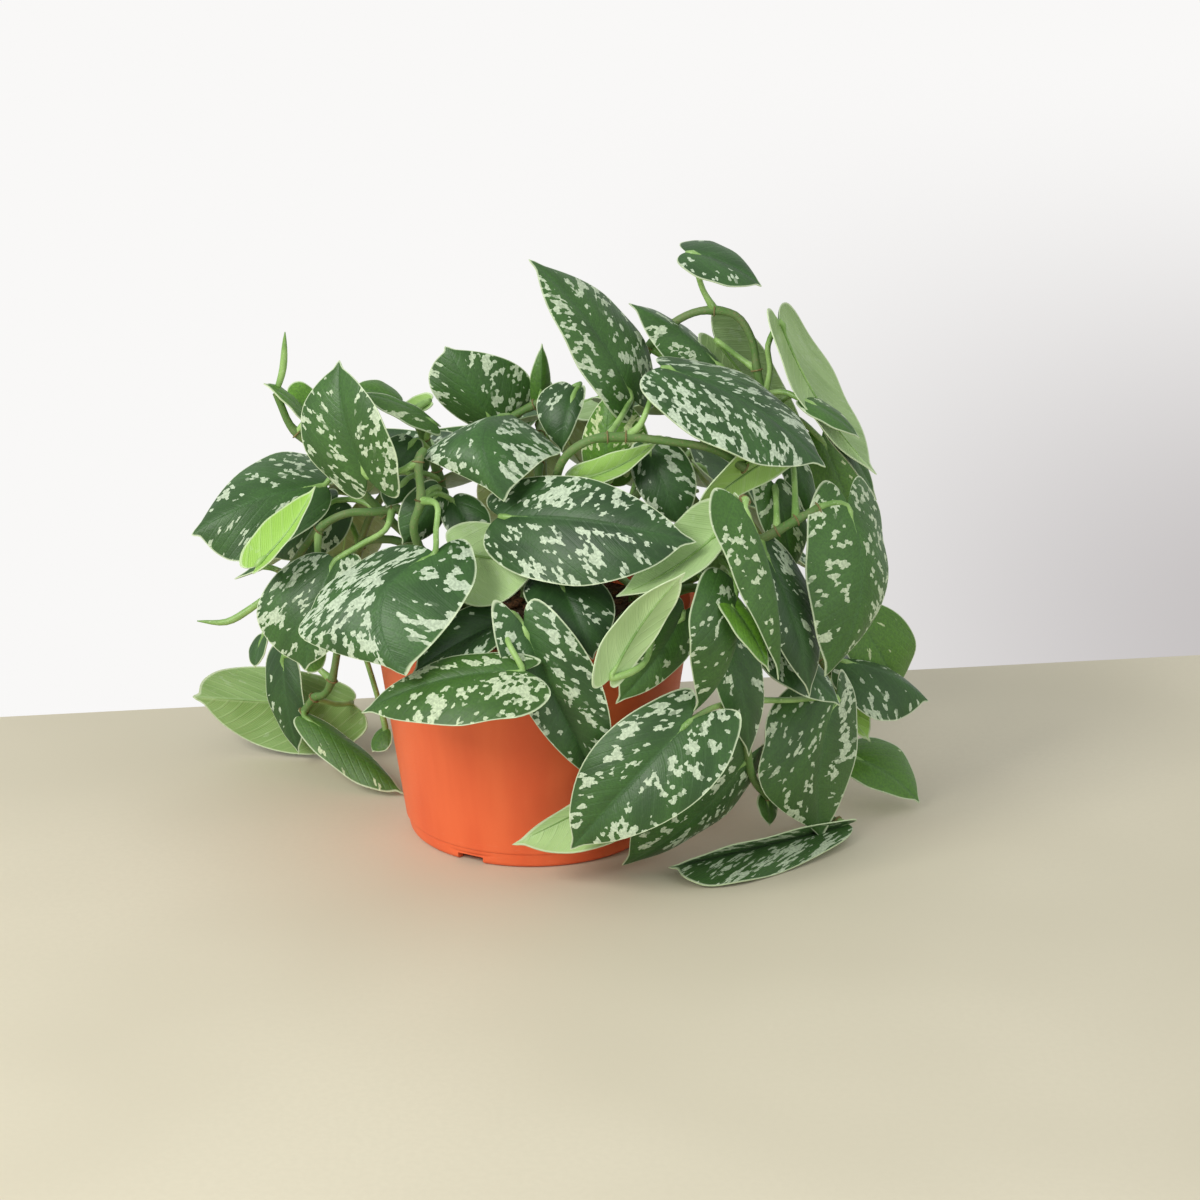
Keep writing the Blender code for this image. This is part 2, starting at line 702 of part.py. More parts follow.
def back_vine(name, root, heading, rise, levels, seed):
    """A vine behind the pot: its stem leans back over the rim, with leaves on both sides."""
    draw = random.Random(seed)
    turn = math.radians(heading)
    out = Vector((math.cos(turn), math.sin(turn), 0.0))
    stem = [at(*root, 0) + out * reach + Vector((0, 0, height + rise)) for reach, height in BACK_STEM]
    leaves = []
    for place, swing, height_drop in levels:
        start = path_spot(stem, place)
        leaf_heading = heading + swing
        leaf_turn = math.radians(leaf_heading)
        aim = Vector((math.cos(leaf_turn), math.sin(leaf_turn), 0.35))
        base = start + aim * BACK_STALK * draw.uniform(0.85, 1.15)
        length = BACK_LENGTH * draw.uniform(0.88, 1.08)
        leaves.append(grown(
            place, base, leaf_heading, length, length * 0.78, height_drop,
            roll=draw.uniform(-15, 15), bow=BACK_BOW,
        ))
    return Vine(name, root, tuple(stem), tuple(leaves))


def pot_radius(height):
    """The pot's outer radius at a height, below the rim's band."""
    return POT_BASE_RADIUS + (POT_TOP_RADIUS - POT_BASE_RADIUS) * height / POT_HEIGHT


def corner_arc(radius, height, size, start, end, steps=3):
    """A rounded corner about a centre, from one angle in degrees to another."""
    turns = [math.radians(start + (end - start) * step / steps) for step in range(steps + 1)]
    return [(radius + size * math.cos(turn), height + size * math.sin(turn)) for turn in turns]


def make_turned(name, profile, group, material, sides=POT_SIDES):
    """A turned solid from its profile, which runs from the inside over the top and down."""
    shape = bmesh.new()
    verts = [shape.verts.new((radius * MM, 0, height * MM)) for radius, height in profile]
    for first, second in zip(verts, verts[1:]):
        shape.edges.new((first, second))
    mesh = bpy.data.meshes.new(name)
    shape.to_mesh(mesh)
    shape.free()
    draft = add_object(name + "_draft", mesh, group)
    screw = draft.modifiers.new("turned", "SCREW")
    screw.steps = sides
    screw.render_steps = sides
    screw.use_merge_vertices = True
    screw.merge_threshold = WELD
    solid = baked_mesh(draft)
    bpy.data.objects.remove(draft, do_unlink=True)
    return add_object(name, solid, group, material)


def add_cut(thing, cutters):
    cut = thing.modifiers.new("cut", "BOOLEAN")
    cut.operation = "DIFFERENCE"
    cut.operand_type = "COLLECTION"
    cut.collection = cutters
    cut.solver = "EXACT"


def add_cutter(name, mesh, group):
    cutter = add_object(name, mesh, group)
    cutter.hide_render = True
    cutter.display_type = "WIRE"
    return cutter


def round_cutter(name, x, y, low, high, radius, sides, group):
    shape = bmesh.new()
    bmesh.ops.create_cone(
        shape, cap_ends=True, segments=sides, radius1=radius * MM, radius2=radius * MM,
        depth=(high - low) * MM,
    )
    mesh = bpy.data.meshes.new(name)
    shape.to_mesh(mesh)
    shape.free()
    cutter = add_cutter(name, mesh, group)
    cutter.location = (x * MM, y * MM, (low + high) / 2 * MM)
    return cutter


def pot_profile():
    """From the middle of the floor, up the inside, over the rim, down to the underside."""
    wall = POT_WALL
    raised = RECESS_HEIGHT + POT_FLOOR
    inner_low = pot_radius(raised) - wall
    band_low = POT_HEIGHT - RIM_BAND
    inside = [
        (0, POT_FLOOR), (DISH_RADIUS - POT_FLOOR, POT_FLOOR), (DISH_RADIUS, raised),
        (inner_low, raised), (pot_radius(POT_HEIGHT) - wall, POT_HEIGHT),
    ]
    top_radius = pot_radius(POT_HEIGHT) + RIM_STEP
    rim = [
        (top_radius - 0.6, POT_HEIGHT), (top_radius, POT_HEIGHT - 0.6),
        (pot_radius(band_low) + RIM_STEP, band_low), (pot_radius(band_low), band_low - 0.6),
    ]
    corner = corner_arc(
        pot_radius(0) - LEDGE_STEP - CORNER_RADIUS, CORNER_RADIUS, CORNER_RADIUS, -5, -90,
    )
    outside = [
        (pot_radius(LEDGE_HEIGHT), LEDGE_HEIGHT + 0.4),
        (pot_radius(LEDGE_HEIGHT) - LEDGE_STEP, LEDGE_HEIGHT - 0.4), *corner,
    ]
    under = [
        (FOOT_INNER, 0), (FOOT_INNER, RECESS_HEIGHT), (DISH_RADIUS + POT_FLOOR, RECESS_HEIGHT),
        (DISH_RADIUS + 0.4, 0), (0, 0),
    ]
    return inside + rim + outside + under


def make_pot(group, cutters, material):
    pot = make_turned("pot", pot_profile(), group, material)
    middle = (DISH_RADIUS + FOOT_INNER) / 2
    for index in range(DRAIN_HOLES):
        turn = math.tau * index / DRAIN_HOLES
        round_cutter(
            f"drain_{index}", middle * math.cos(turn), middle * math.sin(turn),
            RECESS_HEIGHT - 2, RECESS_HEIGHT + POT_FLOOR + 2, DRAIN_HOLE_RADIUS, 12, cutters,
        )
    for index in range(FOOT_SLOTS):
        turn = math.radians(FOOT_SLOT_TURN) + math.tau * index / FOOT_SLOTS
        shape = bmesh.new()
        bmesh.ops.create_cube(shape, size=1.0)
        mesh = bpy.data.meshes.new(f"slot_{index}")
        shape.to_mesh(mesh)
        shape.free()
        slot = add_cutter(f"slot_{index}", mesh, cutters)
        slot.dimensions = Vector((14.0, FOOT_SLOT_WIDTH, FOOT_SLOT_HEIGHT * 2)) * MM
        slot.rotation_euler.z = turn
        reach = (FOOT_INNER + pot_radius(0)) / 2
        slot.location = Vector((math.cos(turn), math.sin(turn), 0)) * reach * MM
    add_cut(pot, cutters)
    pot.data.shade_smooth()
    pot.data.set_sharp_from_angle(angle=math.radians(35))
    return pot


def soil_height(radius):
    return SOIL_TOP + SOIL_CROWN * (1 - (radius / pot_radius(SOIL_TOP)) ** 2)


def make_soil(group, cutters, material, vines):
    """Soil that fills the pot to below its rim, with a plain hole for each stem."""
    raised = RECESS_HEIGHT + POT_FLOOR + FIT_GAP
    wall = POT_WALL + FIT_GAP + ROUND_SLACK
    edge = pot_radius(SOIL_TOP) - wall
    low_edge = pot_radius(raised) - wall
    top = [(edge * step / SOIL_RINGS, soil_height(edge * step / SOIL_RINGS))
           for step in range(SOIL_RINGS)]
    dish = DISH_RADIUS - POT_FLOOR - FIT_GAP - ROUND_SLACK
    profile = top + [
        (edge, soil_height(edge) - 0.6), (low_edge, raised),
        (dish + 1, raised), (dish, POT_FLOOR + FIT_GAP), (0, POT_FLOOR + FIT_GAP),
    ]
    soil = make_turned("soil", profile, group, material, SOIL_SIDES)
    hole_radius = (STEM_RADIUS + FIT_GAP) / math.cos(math.pi / HOLE_SIDES) + 0.1
    for vine in vines:
        round_cutter(
            f"hole_{vine.name}", *vine.root, SOIL_TOP - HOLE_DEPTH - FIT_GAP,
            SOIL_TOP + 20, hole_radius, HOLE_SIDES, cutters,
        )
    add_cut(soil, cutters)
    return soil


def main():
    tidy_objects()
    plant = new_collection("potted_pothos")
    pot_cutters = new_collection("pot_cutters")
    soil_cutters = new_collection("soil_cutters")
    vines = FRONT_VINES + tuple(back_vine(*row) for row in BACK_VINES)
    leaf_green = new_material("leaf_green", (0.05, 0.13, 0.06), 0.5)
    for vine in vines:
        make_vine(vine, plant, leaf_green)
    make_pot(plant, pot_cutters, new_material("orange_plastic", (0.74, 0.15, 0.05), 0.55))
    make_soil(plant, soil_cutters, new_material("soil", (0.03, 0.02, 0.013), 0.95), vines)


main()
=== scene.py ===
"""Looks of the potted pothos: leaves with veins and silver marks, stems, soil and pot."""

import math
import random
from collections import namedtuple

import bmesh
import bpy
from mathutils import Matrix, Vector, noise


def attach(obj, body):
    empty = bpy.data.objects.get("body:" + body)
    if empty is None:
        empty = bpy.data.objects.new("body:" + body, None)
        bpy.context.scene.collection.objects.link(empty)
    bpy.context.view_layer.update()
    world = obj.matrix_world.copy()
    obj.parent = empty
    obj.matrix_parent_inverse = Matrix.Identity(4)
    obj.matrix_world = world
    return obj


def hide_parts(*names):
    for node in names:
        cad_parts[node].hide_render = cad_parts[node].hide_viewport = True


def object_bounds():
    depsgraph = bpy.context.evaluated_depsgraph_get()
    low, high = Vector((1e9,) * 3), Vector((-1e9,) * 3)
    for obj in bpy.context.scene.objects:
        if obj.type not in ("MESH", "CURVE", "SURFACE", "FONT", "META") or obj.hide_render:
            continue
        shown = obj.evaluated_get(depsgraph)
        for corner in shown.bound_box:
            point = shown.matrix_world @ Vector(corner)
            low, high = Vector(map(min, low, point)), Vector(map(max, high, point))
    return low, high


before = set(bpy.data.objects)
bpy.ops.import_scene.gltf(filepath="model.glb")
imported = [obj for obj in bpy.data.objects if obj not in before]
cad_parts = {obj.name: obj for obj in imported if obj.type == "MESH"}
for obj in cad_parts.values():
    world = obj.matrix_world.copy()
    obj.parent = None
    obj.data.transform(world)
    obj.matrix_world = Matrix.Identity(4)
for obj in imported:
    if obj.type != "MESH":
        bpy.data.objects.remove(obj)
cad_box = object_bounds()

MM = 0.001

# Where a spot of the plant is seen: the view's place, tilt and focal length in pixels
VIEW_PLACE = Vector((30.8, -1391.5, 569.2))
VIEW_TILT = math.radians(18.37)
VIEW_FOCAL = 3245.6
VIEW_CENTRE = 600.0
VIEW_WIDTH = 1200.0
SENSOR_WIDTH = 36.0

# Pot, in millimetres
POT_HEIGHT = 108.0
POT_BASE_RADIUS = 57.5
POT_TOP_RADIUS = 73.0
POT_WALL = 1.5
POT_FLOOR = 2.0
RECESS_HEIGHT = 4.0
DISH_RADIUS = 40.0
FOOT_INNER = 52.0
LEDGE_HEIGHT = 7.0
LEDGE_STEP = 0.7
RIM_BAND = 12.0
RIM_STEP = 1.8
CORNER_RADIUS = 2.5
DRAIN_HOLES = 6
DRAIN_HOLE_RADIUS = 3.0
FOOT_SLOTS = 4
FOOT_SLOT_WIDTH = 13.0
FOOT_SLOT_HEIGHT = 3.2
FOOT_SLOT_TURN = -29.0
TAB_WIDTH = 27.0
TAB_HEIGHT = 5.2
TAB_DEPTH = 0.7
POT_SIDES = 128

# Soil, in millimetres
SOIL_TOP = 96.0
SOIL_CROWN = 3.0
HOLE_DEPTH = 22.0
SOIL_RINGS = 34
SOIL_SIDES = 120
BARK_BITS = 150
PUMICE_BITS = 70

# Vines, in millimetres
STEM_RADIUS = 2.2
STALK_RADIUS = 1.3
STALK_SINK = 6.0
STALK_DROP = 0.55
STALK_ARCH = 0.12
STEM_STEP = 3.0
BLADE_THICKNESS = 0.5
BLADE_CROWN = 0.07
BLADE_STATIONS = 36
BLADE_STRIPS = 16
MIDRIB_CROWDING = 1.45
TIP_PINCH = 0.3
TIP_PLACE = 0.935
TIP_SPREAD = 0.045
RIPPLES = 2.3
RIPPLE_HEIGHT = 0.009
GROOVE_DEPTH = 0.35
GROOVE_WIDTH = 1.3
MIDRIB_RADIUS = 0.75
MIDRIB_END = 0.86
MIDRIB_STEPS = 12
JOINT_SWELL = 0.28
JOINT_LENGTH = 3.5
STEM_TAPER = 0.22
SHEATH = 0.55
KNEE = 0.22
SHOOT_RADIUS = 1.6
WELD = 0.000005

# Studio, in metres, watts and shares
TABLE_EDGE_LEFT = (0, 717)
TABLE_EDGE_RIGHT = (1200, 655)
TABLE_WIDTH = 4000.0
TABLE_DEPTH = 2200.0
KEY_POWER = 24.0
FILL_POWER = 4.0

# Half of a blade's outline, from the notch at the stalk to the tip: along the midrib, and out
# from it, as shares of the blade's length and half width
OUTLINE = (
    (0.0, 0.0), (-0.09, 0.23), (-0.11, 0.52), (-0.01, 0.81), (0.15, 0.98), (0.35, 1.0),
    (0.56, 0.85), (0.75, 0.56), (0.89, 0.24), (1.0, 0.0),
)
WIDEST = 0.28
BULGE_LENGTH = 0.4
ROOT_SWEEP = 0.16
VEIN_START = 0.75
VEIN_END = 1.25
VEIN_SLOPE = 1.15
CELL_WIDTH = 1.4
CELL_LENGTH = 2.1

Leaf = namedtuple(
    "Leaf", "start base tip sides bow under via lobe through turned",
    defaults=(0.0, False, (), 1.0, None, False),
)
Vine = namedtuple("Vine", "name root stem leaves shoots", defaults=((),))


def at(x, y, z):
    """A spot in millimetres."""
    return Vector((x, y, z))


def view_ray(column, row):
    """The direction in which a pixel of the 1200 pixel view is seen."""
    right = (column - VIEW_CENTRE) / VIEW_FOCAL
    up = (VIEW_CENTRE - row) / VIEW_FOCAL
    return Vector((
        right,
        math.cos(VIEW_TILT) + up * math.sin(VIEW_TILT),
        up * math.cos(VIEW_TILT) - math.sin(VIEW_TILT),
    ))


def seen(column, row, depth):
    """The spot that a pixel shows, at a depth in millimetres behind the pot's axis."""
    ray = view_ray(column, row)
    return VIEW_PLACE + ray * ((depth - VIEW_PLACE.y) / ray.y)


def laid(column, row, height):
    """The spot that a pixel shows, at a height in millimetres above the table."""
    ray = view_ray(column, row)
    return VIEW_PLACE + ray * ((height - VIEW_PLACE.z) / ray.z)


def colour(red, green, blue):
    """A linear colour from its values of 0 to 255 as seen on a screen."""
    parts = [part / 255 for part in (red, green, blue)]
    return (*[p / 12.92 if p <= 0.04045 else ((p + 0.055) / 1.055) ** 2.4 for p in parts], 1.0)


# Colours as seen on a screen, from 0 to 255
DEEP_GREEN = colour(34, 64, 28)
MID_GREEN = colour(64, 106, 46)
# Lime colours: partly a young leaf's own yellow green, partly painted glow of light shining through the leaf
LIME_GREEN = colour(104, 156, 36)
VEIN_GREEN = colour(96, 136, 82)
MIDRIB_GREEN = colour(72, 112, 60)
SILVER = colour(203, 219, 190)
LIME_SILVER = colour(214, 228, 150)
MARGIN = colour(214, 228, 190)
MARGIN_SHADE = colour(180, 204, 148)
UNDER_GREEN = colour(94, 128, 62)
UNDER_PALE = colour(178, 206, 146)
UNDER_LIME = colour(150, 200, 60)
GRAIN_GREEN = colour(40, 66, 34)
UNDER_VEIN = colour(190, 214, 158)
STALK_GREEN = colour(112, 152, 74)
STALK_PALE = colour(158, 194, 114)
STEM_GREEN = colour(92, 128, 64)
STEM_OLIVE = colour(108, 132, 78)
CORK = colour(136, 132, 92)
DRY_SKIN = colour(128, 108, 66)
POT_ORANGE = colour(240, 112, 64)
POT_DEEP = colour(230, 98, 54)
POT_SCUFF = colour(242, 156, 116)
SOIL_DARK = colour(34, 25, 19)
SOIL_BROWN = colour(62, 46, 34)
SOIL_LIGHT = colour(92, 70, 50)
BARK_DARK = colour(58, 38, 26)
BARK_LIGHT = colour(118, 80, 52)
PUMICE_SHADE = colour(176, 170, 156)
PUMICE = colour(224, 220, 208)
TABLE = colour(216, 208, 184)
TABLE_SHADE = colour(206, 198, 174)
WALL_LIGHT = colour(249, 248, 247)
# Painted shadow: the wall's darker colour toward the lower right
WALL_PAINTED_SHADOW = colour(196, 192, 192)
ROOM_LIGHT = colour(212, 214, 216)


def grown(start, base, heading, length, width, drop, roll=0.0, bow=5.0):
    """A leaf of real size: its heading in degrees from +X, and how far its tip drops."""
    turn = math.radians(heading)
    out = Vector((math.cos(turn), math.sin(turn), 0.0))
    side = Vector((-out.y, out.x, 0.0))
    fall = math.asin(max(-0.95, min(0.95, drop / length)))
    along = out * math.cos(fall) - Vector((0, 0, math.sin(fall)))
    face = side.cross(along)
    lean = math.radians(roll)
    across = side * math.cos(lean) + face * math.sin(lean)
    middle = base + along * length * WIDEST
    tip = base + along * length
    sides = (middle + across * width / 2, middle - across * width / 2)
    under = face.dot(VIEW_PLACE - middle) < 0
    return Leaf(start, base, tip, sides, bow, under, turned=True)


def path_spot(points, place):
    """A spot on the smooth curve through points; place counts them from 0."""
    first = max(0, min(len(points) - 2, int(place)))
    part = place - first
    start = points[first]
    end = points[first + 1]
    before = points[first - 1] if first > 0 else start * 2 - end
    after = points[first + 2] if first + 2 < len(points) else end * 2 - start
    return 0.5 * (
        2 * start + (end - before) * part
        + (2 * before - 5 * start + 4 * end - after) * part ** 2
        + (3 * start - before - 3 * end + after) * part ** 3
    )


def smooth_path(points, step):
    """Spots along the smooth curve through points, about a step apart."""
    spots = []
    for index in range(len(points) - 1):
        count = max(1, round((points[index + 1] - points[index]).length / step))
        spots += [path_spot(points, index + part / count) for part in range(count)]
    return spots + [points[-1]]


def outline_spot(share):
    """The outline's place along the midrib and out from it, from notch (0) to tip (1)."""
    points = [Vector((along, out, 0.0)) for along, out in OUTLINE]
    spot = path_spot(points, share * (len(points) - 1))
    return spot.x, max(0.0, spot.y)


class Blade:
    """The bent surface of one leaf, from the few spots that place it."""

    def __init__(self, leaf):
        self.base = leaf.base
        self.chord = leaf.tip - leaf.base
        self.length = self.chord.length
        self.bow = leaf.bow
        self.lobe = leaf.lobe
        self.upper = -1 if leaf.turned else 1
        ahead = self.chord.normalized()
        first, second = leaf.sides
        face = (second - first).cross(self.chord).normalized()
        middle = (first + second + leaf.base + leaf.tip) / 4
        if (face.dot(VIEW_PLACE - middle) < 0) != leaf.under:
            first, second = second, first
            face = -face
        self.ahead = ahead
        self.face = (face - ahead * face.dot(ahead)).normalized()
        self.across = self.ahead.cross(self.face)
        self.swerve = 0.0
        centre = self.midrib(WIDEST)
        normal, tangent = self.turned(WIDEST)
        self.halves = []
        for side in (first, second):
            reach = side - centre
            self.halves.append((reach.dot(self.across), reach.dot(normal), reach.dot(tangent)))
        if leaf.through:
            self.swerve = (leaf.through - leaf.base - self.chord / 2).dot(self.across)

    def slope(self, along):
        return 4 * self.bow * (1 - 2 * max(0.0, along)) / self.length

    def turned(self, along):
        """The blade's normal and its midrib's direction at a place along it."""
        slope = self.slope(along)
        scale = 1 / math.sqrt(1 + slope * slope)
        normal = (self.face - self.ahead * slope) * scale
        tangent = (self.ahead + self.face * slope) * scale
        return normal, tangent

    def midrib(self, along):
        onward = max(0.0, along)
        bend = self.face * (self.bow * along) + self.across * (self.swerve * onward)
        return self.base + self.chord * along + bend * 4 * (1 - onward)

    def held(self, along, side, reach):
        """How far a spot stays behind as the midrib swerves: the outer margin bulges with it."""
        along = max(0.0, min(1.0, along))
        if side * self.swerve > 0:
            reach *= max(0.0, 1 - max(0.0, along - WIDEST) / BULGE_LENGTH)
        return 4 * self.swerve * along * (1 - along) * reach

    def place(self, share, out):
        """Where share, from notch to tip, and out, from -1 to 1, lie along and across."""
        edge_along, edge_out = outline_spot(share)
        if edge_along < 0:
            edge_along *= self.lobe
        root = max(0.0, min(1.0, share * (1 + ROOT_SWEEP) - ROOT_SWEEP))
        reach = abs(out)
        edge_out *= 1 - TIP_PINCH * math.exp(-((share - TIP_PLACE) / TIP_SPREAD) ** 2)
        return root + (edge_along - root) * reach, edge_out, reach

    def spot(self, share, out, wave, phase):
        """A spot of the blade, with the ripple of its margin and the groove of its midrib."""
        along, edge_out, reach = self.place(share, out)
        side, lift, forward = self.halves[0 if out < 0 else 1]
        normal, tangent = self.turned(along)
        width = edge_out * reach
        crown = BLADE_CROWN * abs(side) * edge_out * 4 * reach * (1 - reach)
        ripple = math.sin(math.tau * (RIPPLES * along + phase + (0.4 if out < 0 else 0.0)))
        ripple *= wave * RIPPLE_HEIGHT * self.length * edge_out * reach ** 3
        groove = GROOVE_DEPTH * math.exp(-(width * abs(side) / GROOVE_WIDTH) ** 2)
        return (
            self.midrib(along) + self.across * (side * width - self.held(along, side, reach))
            + normal * (lift * width + crown + ripple - groove * self.upper) + tangent * forward * width
        )

    def flat(self, share, out):
        """Millimetres along the midrib, out from it and in from the margin."""
        along, edge_out, reach = self.place(share, out)
        across, lift, forward = self.halves[0 if out < 0 else 1]
        half = math.hypot(across, lift) * edge_out
        return along * self.length, half * reach, half * (1 - reach)


# The vines. A leaf's start counts the stem's spots from 0; base and tip are its midrib's ends,
# and sides its two margins where it is widest. A leaf marked under shows its lower face.

VINE_TOP_RIGHT = Vine(
    "vine_top_right", (22, 18),
    (
        seen(598, 520, 20), seen(625, 420, 24), seen(645, 355, 24), seen(668, 327, 22),
        seen(700, 311, 20), seen(735, 315, 18), seen(752, 340, 16), seen(757, 370, 14),
        seen(763, 395, 12), seen(768, 415, 10),
    ),
    (
        Leaf(4.4, seen(688, 252, 12), seen(762, 286, 4), (seen(712, 242, 24), seen(706, 280, -6)),
             3, via=(seen(703, 290, 18), seen(697, 272, 16))),
        Leaf(7, seen(715, 340, 24), seen(812, 442, 32), (seen(752, 334, 40), seen(722, 384, 20)),
             4, under=True, via=(seen(740, 358, 20),)),
        Leaf(8.2, seen(779, 322, 12), seen(876, 475, 2), (seen(792, 385, -4), seen(830, 368, 40)),
             5, under=True, via=(seen(770, 370, 12), seen(768, 345, 12))),
        Leaf(8, seen(805, 400, 2), seen(860, 438, -2), (seen(824, 402, 10), seen(818, 420, -8)),
             2),
        Leaf(9, seen(806, 393, 26), seen(877, 500, 16), (seen(838, 415, 30), seen(824, 432, 12)),
             3),
        Leaf(9, seen(822, 440, 34), seen(860, 560, 44), (seen(868, 472, 50), seen(812, 490, 28)),
             4),
        Leaf(2.2, seen(724, 370, 16), seen(629, 303, 14), (seen(688, 330, 30), seen(680, 375, 8)),
             4, via=(seen(690, 372, 20),)),
        grown(1.3, at(44, 46, 184), 68, 56, 44, 6),
    ),
)

VINE_FRONT_TOP = Vine(
    "vine_front_top", (8, -22),
    (
        seen(548, 560, -20), seen(552, 505, -22), seen(562, 462, -36), seen(588, 441, -40),
        seen(622, 437, -40), seen(665, 441, -40), seen(712, 449, -38), seen(745, 468, -34),
    ),
    (
        Leaf(4.1, seen(663, 367, -18), seen(826, 467, -34), (seen(708, 443, -54), seen(752, 380, 0)),
             7, via=(seen(640, 425, -38), seen(650, 402, -32))),
        Leaf(3.6, seen(632, 398, -12), seen(529, 259, 2), (seen(640, 336, 16), seen(580, 368, -24)),
             6, via=(seen(618, 422, -30),)),
        Leaf(7, seen(790, 448, -22), seen(688, 522, -48), (seen(748, 449, -38), seen(772, 479, -26)),
             4, under=True),
    ),
)

VINE_LEFT_FRONT = Vine(
    "vine_left_front", (-24, -20),
    (
        seen(436, 580, -34), seen(414, 532, -44), seen(421, 500, -44), seen(418, 462, -42),
        seen(424, 450, -38),
    ),
    (
        Leaf(3, seen(367, 478, -38), seen(339, 360, -24), (seen(303, 440, -26), seen(390, 438, -50)),
             6, via=(seen(400, 471, -42), seen(384, 473, -40)), lobe=1.8),
        Leaf(2, seen(434, 553, -60), seen(406, 676, -94), (seen(314, 608, -66), seen(473, 584, -72)),
             7, via=(seen(437, 505, -52), seen(436, 530, -58)), lobe=1.5,
             through=seen(380, 630, -76)),
        Leaf(2, seen(440, 488, -30), seen(402, 545, -34), (seen(404, 500, -30), seen(440, 525, -24)),
             2),
        Leaf(2, seen(452, 500, -22), seen(484, 546, -34), (seen(486, 508, -26), seen(447, 530, -30)),
             2),
    ),
)

VINE_FAR_LEFT = Vine(
    "vine_far_left", (-30, 8),
    (
        seen(432, 560, 0), seen(385, 515, -2), seen(340, 470, -2), seen(305, 440, -6),
        seen(290, 425, -6), seen(281, 405, -6), seen(276, 393, -6),
    ),
    (
        Leaf(3.4, seen(308, 420, -8), seen(264, 383, -12), (seen(290, 394, -2), seen(294, 412, -16)),
             2),
        Leaf(2.6, seen(326, 425, 2), seen(284, 395, 4), (seen(306, 384, 10), seen(300, 414, -2)),
             2),
        Leaf(2, seen(325, 484, -4), seen(191, 535, -20), (seen(278, 454, 18), seen(262, 556, -26)),
             7),
        Leaf(1, seen(336, 500, 10), seen(270, 560, 10), (seen(296, 505, 22), seen(334, 548, 4)),
             3),
    ),
    ((seen(276, 393, -6), seen(283, 368, -6), seen(285, 332, -6)),),
)

VINE_LEFT = Vine(
    "vine_left", (-36, -6),
    (
        seen(425, 560, -14), seen(403, 512, -20), seen(376, 512, -18), seen(345, 514, -12),
        seen(318, 530, -12), seen(292, 565, -10), seen(272, 592, -10),
    ),
    (
        Leaf(1.4, seen(335, 560, -34), seen(305, 671, -48), (seen(259, 604, -34), seen(358, 606, -50)),
             6, via=(seen(385, 530, -30), seen(360, 545, -34))),
        Leaf(5.3, seen(258, 566, -42), seen(316, 486, -36), (seen(257, 530, -36), seen(284, 546, -50)),
             3, under=True, via=(seen(272, 568, -32),)),
        Leaf(4, seen(318, 640, -26), seen(308, 674, -30), (seen(302, 652, -24), seen(325, 662, -30)),
             1),
        Leaf(6, seen(263, 636, -12), seen(254, 668, -16), (seen(250, 648, -10), seen(265, 652, -20)),
             1),
    ),
    ((seen(272, 592, -10), seen(250, 609, -10), seen(226, 622, -10), seen(197, 621, -10)),),
)

VINE_LOW_LEFT = Vine(
    "vine_low_left", (-40, 20),
    (
        at(-52, 28, 120), at(-68, 38, 124), at(-84, 46, 112), seen(332, 680, 54),
        seen(314, 698, 60), seen(304, 712, 62),
    ),
    (
        Leaf(4, seen(352, 703, 76), seen(192, 697, 86), (seen(262, 667, 102), seen(302, 754, 78)),
             5, under=True, via=(seen(336, 704, 68),)),
        Leaf(3, seen(283, 656, 74), seen(299, 754, 66), (seen(266, 684, 80), seen(303, 692, 66)),
             3),
        Leaf(5, seen(304, 716, 58), seen(404, 794, 27), (seen(346, 736, 52), seen(334, 768, 36)),
             3),
        Leaf(2.4, seen(385, 728, 34), seen(372, 752, 28), (seen(374, 736, 36), seen(390, 746, 26)),
             1),
    ),
)

VINE_FRONT_LEFT = Vine(
    "vine_front_left", (-14, -36),
    (
        seen(478, 596, -46), seen(490, 604, -50), seen(500, 613, -54),
    ),
    (
        Leaf(2, seen(523, 670, -90), seen(361, 713, -80), (seen(464, 655, -80), seen(484, 723, -112)),
             8, via=(seen(503, 626, -68), seen(510, 646, -84))),
        Leaf(2, seen(524, 628, -76), seen(601, 788, -78), (seen(508, 676, -86), seen(596, 672, -86)),
             6, via=(seen(514, 614, -66),), lobe=1.3),
        Leaf(1, seen(503, 622, -58), seen(412, 674, -76), (seen(456, 612, -58), seen(470, 664, -84)),
             3),
        Leaf(0, seen(455, 552, -44), seen(545, 558, -56), (seen(488, 523, -34), seen(478, 606, -60)),
             5, under=True),
    ),
)

VINE_CENTRE = Vine(
    "vine_centre", (0, -4),
    (
        seen(530, 560, -14), seen(520, 505, -12), seen(512, 450, -10), seen(508, 424, -10),
    ),
    (
        Leaf(1, seen(500, 516, -44), seen(697, 542, -72), (seen(566, 476, -42), seen(560, 584, -74)),
             8, via=(seen(508, 510, -30),)),
        Leaf(3, seen(508, 414, -12), seen(504, 502, -52), (seen(428, 452, -28), seen(560, 452, -26)),
             14, lobe=1.2, through=seen(480, 462, -36)),
        Leaf(0.6, seen(560, 582, -56), seen(593, 660, -76), (seen(526, 600, -62), seen(612, 598, -62)),
             5),
    ),
)

VINE_TOP_CENTRE = Vine(
    "vine_top_centre", (-4, 24),
    (
        seen(505, 540, 24), seen(500, 470, 22), seen(496, 432, 18), seen(520, 412, 16),
        seen(560, 395, 12),
    ),
    (
        Leaf(2, seen(493, 423, 14), seen(445, 346, 18), (seen(434, 394, 16), seen(528, 376, 22)),
             4),
        Leaf(3.4, seen(540, 402, 20), seen(542, 343, 24), (seen(529, 386, 22), seen(550, 386, 24)),
             2),
        Leaf(4, seen(575, 391, 6), seen(562, 453, -4), (seen(538, 400, 8), seen(582, 408, 0)),
             4, via=(seen(580, 384, 10),)),
        grown(1.5, at(-11, 41, 179), 98, 50, 42, 1),
    ),
)

